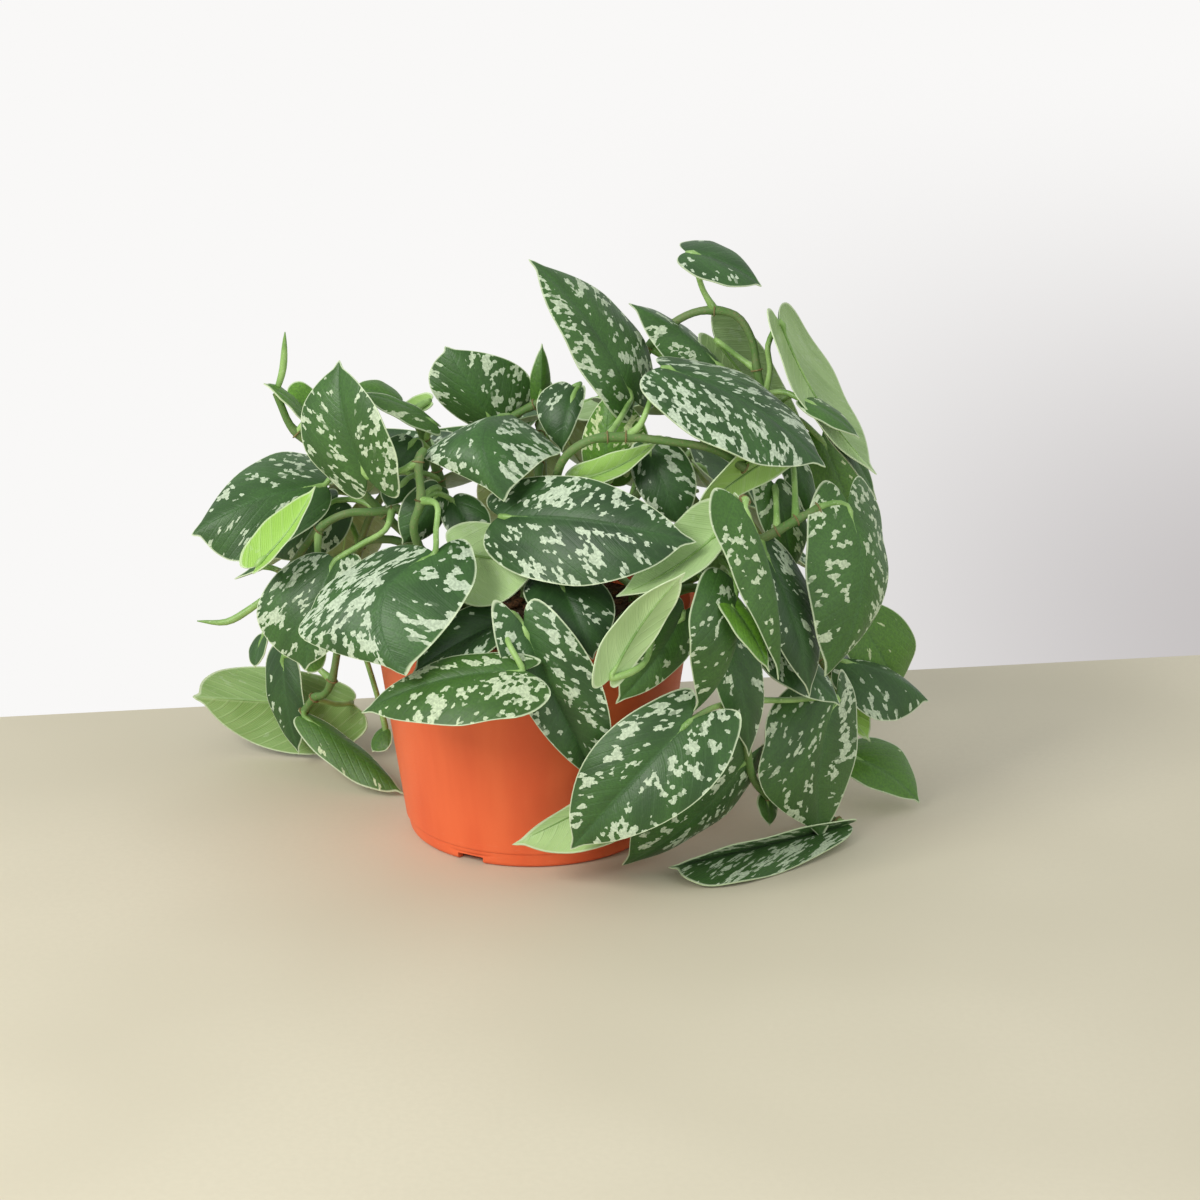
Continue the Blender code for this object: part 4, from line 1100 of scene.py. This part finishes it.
def table_board():
    material, tree, shader = new_material("table_board", Roughness=0.6, Specular_IOR_Level=0.3)
    place = object_place(tree)
    fine = cloud(tree, place, 0.35, 4.0)
    broad = cloud(tree, place, 0.004, 2.0)
    tone = mix(tree, ramp(tree, broad, 0.3, 0.7), TABLE, TABLE_SHADE)
    tone = mix(tree, ramp(tree, fine, 0.3, 0.7, 0.0, 0.25), tone, TABLE_SHADE)
    tree.links.new(tone, shader.inputs["Base Color"])
    tree.links.new(bump(tree, fine, 0.05, 0.4), shader.inputs["Normal"])
    return material


def add_object(name, mesh, materials=()):
    thing = bpy.data.objects.new(name, mesh)
    bpy.context.scene.collection.objects.link(thing)
    if materials:
        mesh.materials.clear()
        for material in materials:
            mesh.materials.append(material)
    return thing


def finished_mesh(thing, name):
    """The mesh that an object's modifiers or curve give; the draft is taken out."""
    graph = bpy.context.evaluated_depsgraph_get()
    graph.update()
    mesh = bpy.data.meshes.new_from_object(thing.evaluated_get(graph))
    mesh.name = name
    bpy.data.objects.remove(thing, do_unlink=True)
    return mesh


def finish_piece(piece, nodes):
    """Hangs a finished piece under the root body, and hides the solids that it stands for."""
    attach(piece, "root")
    for node in nodes:
        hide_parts(node)


def inside(spot):
    """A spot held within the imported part's box, with room for a blade's thickness."""
    room = BLADE_THICKNESS * 0.55 * MM
    limits = zip(spot, *cad_box)
    return Vector([min(max(value, low + room), high - room) for value, low, high in limits])


def blade_points(shape, leaf, look, seed, layers):
    """Adds one leaf's blade to a mesh, each of its points with its place and its look."""
    blade = Blade(leaf)
    grid = bmesh.ops.create_grid(
        shape, x_segments=BLADE_STATIONS, y_segments=BLADE_STRIPS, size=0.5,
    )
    vein_place, mark_place, traits, pale = layers
    for vert in grid["verts"]:
        share = vert.co.x + 0.5
        out = -math.copysign(abs(vert.co.y * 2) ** MIDRIB_CROWDING, vert.co.y) * blade.upper
        along, half, inset = blade.flat(share, out)
        bend = VEIN_START + (VEIN_END - VEIN_START) * abs(out)
        phase = seed * 13.7 + (5.3 if out < 0 else 0.0)
        vert[vein_place] = (along - half * bend, half, phase)
        across_veins = (along - half * VEIN_SLOPE) / math.hypot(1, VEIN_SLOPE)
        along_veins = (along * VEIN_SLOPE + half) / math.hypot(1, VEIN_SLOPE)
        vert[mark_place] = (across_veins, along_veins, phase)
        vert[traits] = (look.silver, look.lime, inset)
        vert[pale] = look.pale
        vert.co = inside(blade.spot(share, out, look.wave, seed * 0.37) * MM)
    bmesh.ops.remove_doubles(shape, verts=grid["verts"], dist=WELD)


def make_blades(vine, looks, first_seed, materials):
    """All blades of a vine: a thin wall with an upper face, a lower face and a margin."""
    shape = bmesh.new()
    layers = (
        shape.verts.layers.float_vector.new("vein_place"),
        shape.verts.layers.float_vector.new("mark_place"),
        shape.verts.layers.float_vector.new("traits"),
        shape.verts.layers.float.new("pale"),
    )
    for index, leaf in enumerate(vine.leaves):
        look = looks[index] if index < len(looks) else PLAIN_LOOK
        blade_points(shape, leaf, look, first_seed + index, layers)
    mesh = bpy.data.meshes.new(vine.name + "_draft")
    shape.to_mesh(mesh)
    shape.free()
    draft = add_object(vine.name + "_draft", mesh, materials)
    wall = draft.modifiers.new("thickness", "SOLIDIFY")
    wall.thickness = BLADE_THICKNESS * MM
    wall.offset = 0.0
    wall.material_offset = 1
    wall.material_offset_rim = 2
    finished = finished_mesh(draft, vine.name + "_leaves")
    finished.shade_smooth()
    finished.set_sharp_from_angle(angle=math.radians(60))
    piece = add_object(vine.name + "_leaves", finished)
    finish_piece(piece, [vine.name])
    return piece


def root_path(root):
    """The stretch of a stem that stands in its hole in the soil."""
    x, y = root
    return [at(x, y, SOIL_TOP - HOLE_DEPTH), at(x, y, SOIL_TOP + 4), at(x, y, SOIL_TOP + 9)]


def stalk_path(vine, leaf):
    """A leaf stalk, from inside the stem to a little way along the blade's lower face."""
    stem = root_path(vine.root) + list(vine.stem)
    start = path_spot(stem, leaf.start + 3)
    blade = Blade(leaf)
    below = blade.turned(0.0)[0] * STALK_RADIUS * STALK_DROP
    joint = leaf.base - below
    sunk = blade.midrib(STALK_SINK / blade.length) - below
    via = list(leaf.via)
    if not via:
        reach = leaf.base - start
        via = [start + reach * 0.5 + Vector((0, 0, STALK_ARCH * reach.length))]
    return smooth_path([start] + via + [joint, sunk], STEM_STEP)


def add_strand(curve, path, radii, material):
    """One strand of a curve object: spots in millimetres, and a radius at each."""
    spline = curve.splines.new("POLY")
    spline.points.add(len(path) - 1)
    spline.material_index = material
    spline.use_smooth = True
    for point, spot, radius in zip(spline.points, path, radii):
        point.co = (*(spot * MM), 1.0)
        point.radius = radius / STEM_RADIUS


def stem_radii(path, places):
    """A stem's radius at each spot: it swells at its joints and tapers to its end."""
    radii = []
    for index, spot in enumerate(path):
        near = min((spot - place).length for place in places) if places else JOINT_LENGTH
        swell = 1 + JOINT_SWELL * math.exp(-(near / JOINT_LENGTH) ** 2)
        share = index / (len(path) - 1)
        radii.append(STEM_RADIUS * swell * (1 - STEM_TAPER * share))
    return radii


def stalk_radii(path):
    """A stalk's radius: a wide sheath where it leaves the stem, and a small knee at its leaf."""
    radii = []
    for index in range(len(path)):
        share = index / (len(path) - 1)
        sheath = SHEATH * math.exp(-(share / 0.16) ** 2)
        knee = KNEE * math.exp(-((share - 0.88) / 0.09) ** 2)
        end = 1 if share < 0.93 else 1 - 0.55 * (share - 0.93) / 0.07
        radii.append(STALK_RADIUS * (1 + sheath + knee) * end)
    return radii


def midrib_path(leaf):
    """The raised midrib under a blade."""
    blade = Blade(leaf)
    spots = []
    for step in range(MIDRIB_STEPS + 1):
        along = MIDRIB_END * step / MIDRIB_STEPS
        sunk = BLADE_THICKNESS / 2 + GROOVE_DEPTH + MIDRIB_RADIUS * 0.15
        spots.append(blade.midrib(along) - blade.turned(along)[0] * sunk * blade.upper)
    return spots, [MIDRIB_RADIUS * (1 - 0.8 * step / MIDRIB_STEPS) for step in range(MIDRIB_STEPS + 1)]


def make_stems(vine, materials):
    """A vine's stem, leaf stalks, midribs, joints and shoots."""
    curve = bpy.data.curves.new(vine.name + "_stems", "CURVE")
    curve.dimensions = "3D"
    curve.bevel_depth = STEM_RADIUS * MM
    curve.bevel_resolution = 3
    curve.use_fill_caps = True
    for material in materials:
        curve.materials.append(material)
    spine = root_path(vine.root) + list(vine.stem)
    joints = [path_spot(spine, leaf.start + 3) for leaf in vine.leaves]
    path = smooth_path(spine, STEM_STEP)
    add_strand(curve, path, stem_radii(path, joints), 1)
    for leaf, joint in zip(vine.leaves, joints):
        stalk = stalk_path(vine, leaf)
        add_strand(curve, stalk, stalk_radii(stalk), 0)
        add_strand(curve, *midrib_path(leaf), 0)
        step = (path_spot(spine, leaf.start + 3.06) - joint)
        if step.length > 0:
            step = step.normalized() * 0.35
            ring = [joint - step, joint - step * 0.4, joint + step * 0.4, joint + step]
            wide = STEM_RADIUS * (1 + JOINT_SWELL)
            add_strand(curve, ring, [wide * 0.9, wide * 1.07, wide * 1.05, wide * 0.9], 2)
    for shoot in vine.shoots:
        path = smooth_path(shoot, STEM_STEP)
        count = len(path) - 1
        radii = [SHOOT_RADIUS * (0.75 + 1.0 * (i / count) - 1.6 * (i / count) ** 3) for i in range(count + 1)]
        add_strand(curve, path, radii, 0)
    draft = bpy.data.objects.new(vine.name + "_draft", curve)
    bpy.context.scene.collection.objects.link(draft)
    mesh = finished_mesh(draft, vine.name + "_stems")
    mesh.shade_smooth()
    piece = add_object(vine.name + "_stems", mesh)
    finish_piece(piece, [vine.name])
    return piece


def pot_radius(height):
    """The pot's outer radius at a height, below the rim's band."""
    return POT_BASE_RADIUS + (POT_TOP_RADIUS - POT_BASE_RADIUS) * height / POT_HEIGHT


def corner_arc(radius, height, size, start, end, steps=6):
    """A rounded corner about a centre, from one angle in degrees to another."""
    turns = [math.radians(start + (end - start) * step / steps) for step in range(steps + 1)]
    return [(radius + size * math.cos(turn), height + size * math.sin(turn)) for turn in turns]


def turned_mesh(name, profile, sides):
    """A closed turned body from its profile, which ends on the axis at both ends."""
    shape = bmesh.new()
    verts = [shape.verts.new((radius * MM, 0, height * MM)) for radius, height in profile]
    edges = [shape.edges.new(pair) for pair in zip(verts, verts[1:])]
    bmesh.ops.spin(
        shape, geom=verts + edges, cent=(0, 0, 0), axis=(0, 0, 1), angle=math.tau,
        steps=sides, use_merge=True,
    )
    bmesh.ops.remove_doubles(shape, verts=shape.verts, dist=WELD)
    bmesh.ops.recalc_face_normals(shape, faces=shape.faces)
    mesh = bpy.data.meshes.new(name)
    shape.to_mesh(mesh)
    shape.free()
    return mesh


def pot_profile():
    """From the middle of the floor, up the inside, over the rim, down to the underside."""
    raised = RECESS_HEIGHT + POT_FLOOR
    inner_low = pot_radius(raised) - POT_WALL
    band_low = POT_HEIGHT - RIM_BAND
    top_radius = pot_radius(POT_HEIGHT) + RIM_STEP
    inner_top = pot_radius(POT_HEIGHT) - POT_WALL
    inside = [(0, POT_FLOOR), (DISH_RADIUS - POT_FLOOR, POT_FLOOR), (DISH_RADIUS, raised)]
    inside += corner_arc(inner_low - 2, raised + 2, 2, -90, 0)
    rim = corner_arc(inner_top + 0.5, POT_HEIGHT - 0.5, 0.5, 180, 90)
    rim += corner_arc(top_radius - 0.6, POT_HEIGHT - 0.6, 0.6, 90, 0)
    band_radius = pot_radius(band_low)
    rim += corner_arc(band_radius + RIM_STEP - 0.5, band_low + 0.5, 0.5, 0, -60)
    rim += [(band_radius + 0.35, band_low - 0.15), (band_radius + 0.02, band_low - 0.6)]
    ledge = pot_radius(LEDGE_HEIGHT)
    outside = [
        (ledge + 0.08, LEDGE_HEIGHT + 1.0), (ledge - 0.02, LEDGE_HEIGHT + 0.35),
        (ledge - 0.25, LEDGE_HEIGHT + 0.05), (ledge - LEDGE_STEP, LEDGE_HEIGHT - 0.15),
        (ledge - LEDGE_STEP - 0.05, LEDGE_HEIGHT - 0.7),
    ]
    corner = corner_arc(
        pot_radius(0) - LEDGE_STEP - CORNER_RADIUS, CORNER_RADIUS, CORNER_RADIUS, -5, -90,
    )
    under = [
        (FOOT_INNER, 0), (FOOT_INNER, RECESS_HEIGHT), (DISH_RADIUS + POT_FLOOR, RECESS_HEIGHT),
        (DISH_RADIUS + 0.4, 0), (0, 0),
    ]
    return inside + rim + outside + corner + under


def block(shape, turn, reach, size):
    """A block of a size, turned about the pot's axis and moved out from it."""
    made = bmesh.ops.create_cube(shape, size=1.0)["verts"]
    bmesh.ops.scale(shape, vec=size, verts=made)
    bmesh.ops.translate(shape, vec=(reach, 0, 0), verts=made)
    bmesh.ops.rotate(shape, cent=(0, 0, 0), matrix=Matrix.Rotation(turn, 3, "Z"), verts=made)


def make_pot(materials):
    mesh = turned_mesh("pot_draft", pot_profile(), POT_SIDES)
    cutters = bmesh.new()
    middle = (DISH_RADIUS + FOOT_INNER) / 2
    for index in range(DRAIN_HOLES):
        turn = math.tau * index / DRAIN_HOLES
        made = bmesh.ops.create_cone(
            cutters, cap_ends=True, segments=24, radius1=DRAIN_HOLE_RADIUS,
            radius2=DRAIN_HOLE_RADIUS, depth=POT_FLOOR + 4,
        )["verts"]
        spot = (middle * math.cos(turn), middle * math.sin(turn), RECESS_HEIGHT + POT_FLOOR / 2)
        bmesh.ops.translate(cutters, vec=spot, verts=made)
    for index in range(FOOT_SLOTS):
        turn = math.radians(FOOT_SLOT_TURN) + math.tau * index / FOOT_SLOTS
        reach = (FOOT_INNER + pot_radius(0)) / 2
        block(cutters, turn, reach, (14.0, FOOT_SLOT_WIDTH, FOOT_SLOT_HEIGHT * 2))
        recess = pot_radius(0) - LEDGE_STEP - TAB_DEPTH + 5
        block(cutters, turn, recess, (10.0, TAB_WIDTH, TAB_HEIGHT * 2))
    bmesh.ops.scale(cutters, vec=(MM, MM, MM), verts=cutters.verts)
    cut_mesh = bpy.data.meshes.new("pot_cutters")
    cutters.to_mesh(cut_mesh)
    cutters.free()
    cutter = add_object("pot_cutters", cut_mesh)
    draft = add_object("pot_draft", mesh)
    cut = draft.modifiers.new("cut", "BOOLEAN")
    cut.operation = "DIFFERENCE"
    cut.object = cutter
    cut.solver = "EXACT"
    cut.use_self = True
    finished = finished_mesh(draft, "plastic_pot")
    bpy.data.objects.remove(cutter, do_unlink=True)
    finished.shade_smooth()
    finished.set_sharp_from_angle(angle=math.radians(32))
    piece = add_object("plastic_pot", finished, materials)
    finish_piece(piece, ["pot"])
    return piece


def soil_height(radius):
    return SOIL_TOP + SOIL_CROWN * (1 - (radius / pot_radius(SOIL_TOP)) ** 2)


def crumbled(spot):
    """The height of the soil's crumbs at a spot in millimetres."""
    coarse = noise.noise(Vector((spot.x, spot.y, 3.1)) * 0.16)
    fine = noise.noise(Vector((spot.x, spot.y, 8.4)) * 0.45)
    return 1.6 * coarse + 1.1 * fine


def make_soil(material):
    raised = RECESS_HEIGHT + POT_FLOOR + 0.3
    edge = pot_radius(SOIL_TOP) - POT_WALL - 0.3
    low_edge = pot_radius(raised) - POT_WALL - 0.6
    dish = DISH_RADIUS - POT_FLOOR - 0.7
    profile = [
        (edge * step / SOIL_RINGS, soil_height(edge * step / SOIL_RINGS))
        for step in range(SOIL_RINGS + 1)
    ]
    profile += [(low_edge, raised), (dish + 1, raised), (dish, POT_FLOOR + 0.3), (0, POT_FLOOR + 0.3)]
    mesh = turned_mesh("potting_soil", profile, SOIL_SIDES)
    for vert in mesh.vertices:
        spot = vert.co / MM
        if spot.z > SOIL_TOP - 0.5 and math.hypot(spot.x, spot.y) < edge - 0.5:
            vert.co.z += crumbled(spot) * MM
    mesh.shade_smooth()
    piece = add_object("potting_soil", mesh, [material])
    finish_piece(piece, ["soil"])
    return piece


def make_chips(name, count, sizes, flatness, seed, material):
    """Loose bits that lie half sunk in the soil."""
    draw = random.Random(seed)
    shape = bmesh.new()
    edge = pot_radius(SOIL_TOP) - POT_WALL - 4
    for index in range(count):
        radius = edge * math.sqrt(draw.random())
        turn = draw.uniform(0, math.tau)
        spot = Vector((radius * math.cos(turn), radius * math.sin(turn), 0))
        size = draw.uniform(*sizes)
        made = bmesh.ops.create_icosphere(shape, subdivisions=1, radius=1.0)["verts"]
        for vert in made:
            vert.co *= 1 + 0.35 * noise.noise(vert.co * 1.7 + Vector((index * 3.3, 0, 0)))
        bmesh.ops.scale(
            shape, vec=(size, size * draw.uniform(0.5, 0.9), size * flatness), verts=made,
        )
        lean = Matrix.Rotation(draw.uniform(-0.5, 0.5), 3, "X")
        spin = Matrix.Rotation(draw.uniform(0, math.tau), 3, "Z")
        bmesh.ops.rotate(shape, cent=(0, 0, 0), matrix=spin @ lean, verts=made)
        spot.z = soil_height(radius) + crumbled(spot) + size * flatness * 0.3
        bmesh.ops.translate(shape, vec=spot, verts=made)
    bmesh.ops.scale(shape, vec=(MM, MM, MM), verts=shape.verts)
    mesh = bpy.data.meshes.new(name)
    shape.to_mesh(mesh)
    shape.free()
    mesh.shade_smooth()
    piece = add_object(name, mesh, [material])
    finish_piece(piece, ["soil"])
    return piece


def make_table():
    """The board that the pot stands on, out to the edge seen behind it."""
    left = laid(*TABLE_EDGE_LEFT, 0)
    right = laid(*TABLE_EDGE_RIGHT, 0)
    along = (right - left).normalized()
    toward = Vector((along.y, -along.x, 0))
    shape = bmesh.new()
    made = bmesh.ops.create_grid(shape, x_segments=1, y_segments=1, size=0.5)["verts"]
    middle = (left + right) / 2
    for vert in made:
        spot = middle + along * vert.co.x * TABLE_WIDTH + toward * (0.5 - vert.co.y) * TABLE_DEPTH
        vert.co = spot * MM
    bmesh.ops.recalc_face_normals(shape, faces=shape.faces)
    for face in shape.faces:
        if face.normal.z < 0:
            face.normal_flip()
    mesh = bpy.data.meshes.new("table_top")
    shape.to_mesh(mesh)
    shape.free()
    table = add_object("table_top", mesh, [table_board()])
    return table


def add_lamp(name, spot, aim, size, power, tint):
    """A soft square lamp; its spot and aim are in metres."""
    lamp = bpy.data.lights.new(name, "AREA")
    lamp.shape = "SQUARE"
    lamp.size = size
    lamp.energy = power
    lamp.color = tint
    thing = bpy.data.objects.new(name, lamp)
    thing.location = spot
    thing.rotation_euler = (Vector(aim) - Vector(spot)).to_track_quat("-Z", "Y").to_euler()
    bpy.context.scene.collection.objects.link(thing)
    return thing


def make_studio():
    world = bpy.data.worlds.new("studio")
    world.use_nodes = True
    tree = world.node_tree
    sky = tree.nodes["Background"]
    # Painted shadow on the wall seen by the camera: it darkens toward the lower right. Other rays see the
    # even room light.
    side, ahead, up = split(tree, add_node(tree, "TexCoord").outputs["Generated"])[:3]
    painted_shadow_right = ramp(tree, side, -0.05, 0.22)
    low = ramp(tree, up, -0.32, -0.15, 1.0, 0.0)
    wall = mix(tree, calc(tree, "MULTIPLY", painted_shadow_right, low), WALL_LIGHT, WALL_PAINTED_SHADOW)
    seen_wall = add_node(tree, "LightPath").outputs["Is Camera Ray"]
    tree.links.new(mix(tree, seen_wall, ROOM_LIGHT, wall), sky.inputs["Color"])
    bpy.context.scene.world = world
    bpy.context.scene.view_settings.view_transform = "Standard"
    add_lamp("key_lamp", (-1.1, -1.1, 1.25), (0.0, 0.0, 0.12), 0.8, KEY_POWER, (1.0, 0.985, 0.96))
    add_lamp("fill_lamp", (1.3, -1.2, 0.7), (0.0, 0.0, 0.12), 1.2, FILL_POWER, (0.96, 0.98, 1.0))


def make_camera():
    camera = bpy.data.cameras.new("camera")
    camera.sensor_width = SENSOR_WIDTH
    camera.lens = VIEW_FOCAL * SENSOR_WIDTH / VIEW_WIDTH
    camera.clip_end = 20.0
    thing = bpy.data.objects.new("camera", camera)
    thing.location = VIEW_PLACE * MM
    thing.rotation_euler = (math.radians(90) - VIEW_TILT, 0, 0)
    bpy.context.scene.collection.objects.link(thing)
    bpy.context.scene.camera = thing


def main():
    marks = marks_group()
    veins = veins_group()
    grain = grain_group()
    blade_looks = [leaf_upper(marks, veins, grain), leaf_under(marks, veins), leaf_margin(grain)]
    stem_looks = [green_stalk(grain), old_stem(grain), dry_scar(grain)]
    seed = 1
    for vine in FRONT_VINES + tuple(back_vine(*row) for row in BACK_VINES):
        make_blades(vine, LOOKS.get(vine.name, ()), seed, blade_looks)
        make_stems(vine, stem_looks)
        seed += len(vine.leaves)
    make_pot([orange_plastic(grain)])
    make_soil(potting_soil(grain))
    bark = chip_material("bark", BARK_DARK, BARK_LIGHT, grain, 1.2)
    pumice = chip_material("pumice", PUMICE_SHADE, PUMICE, grain, 0.6)
    make_chips("bark_bits", BARK_BITS, (1.5, 4.5), 0.35, 21, bark)
    make_chips("pumice_bits", PUMICE_BITS, (0.8, 1.9), 0.8, 35, pumice)
    make_table()
    make_studio()
    make_camera()


main()
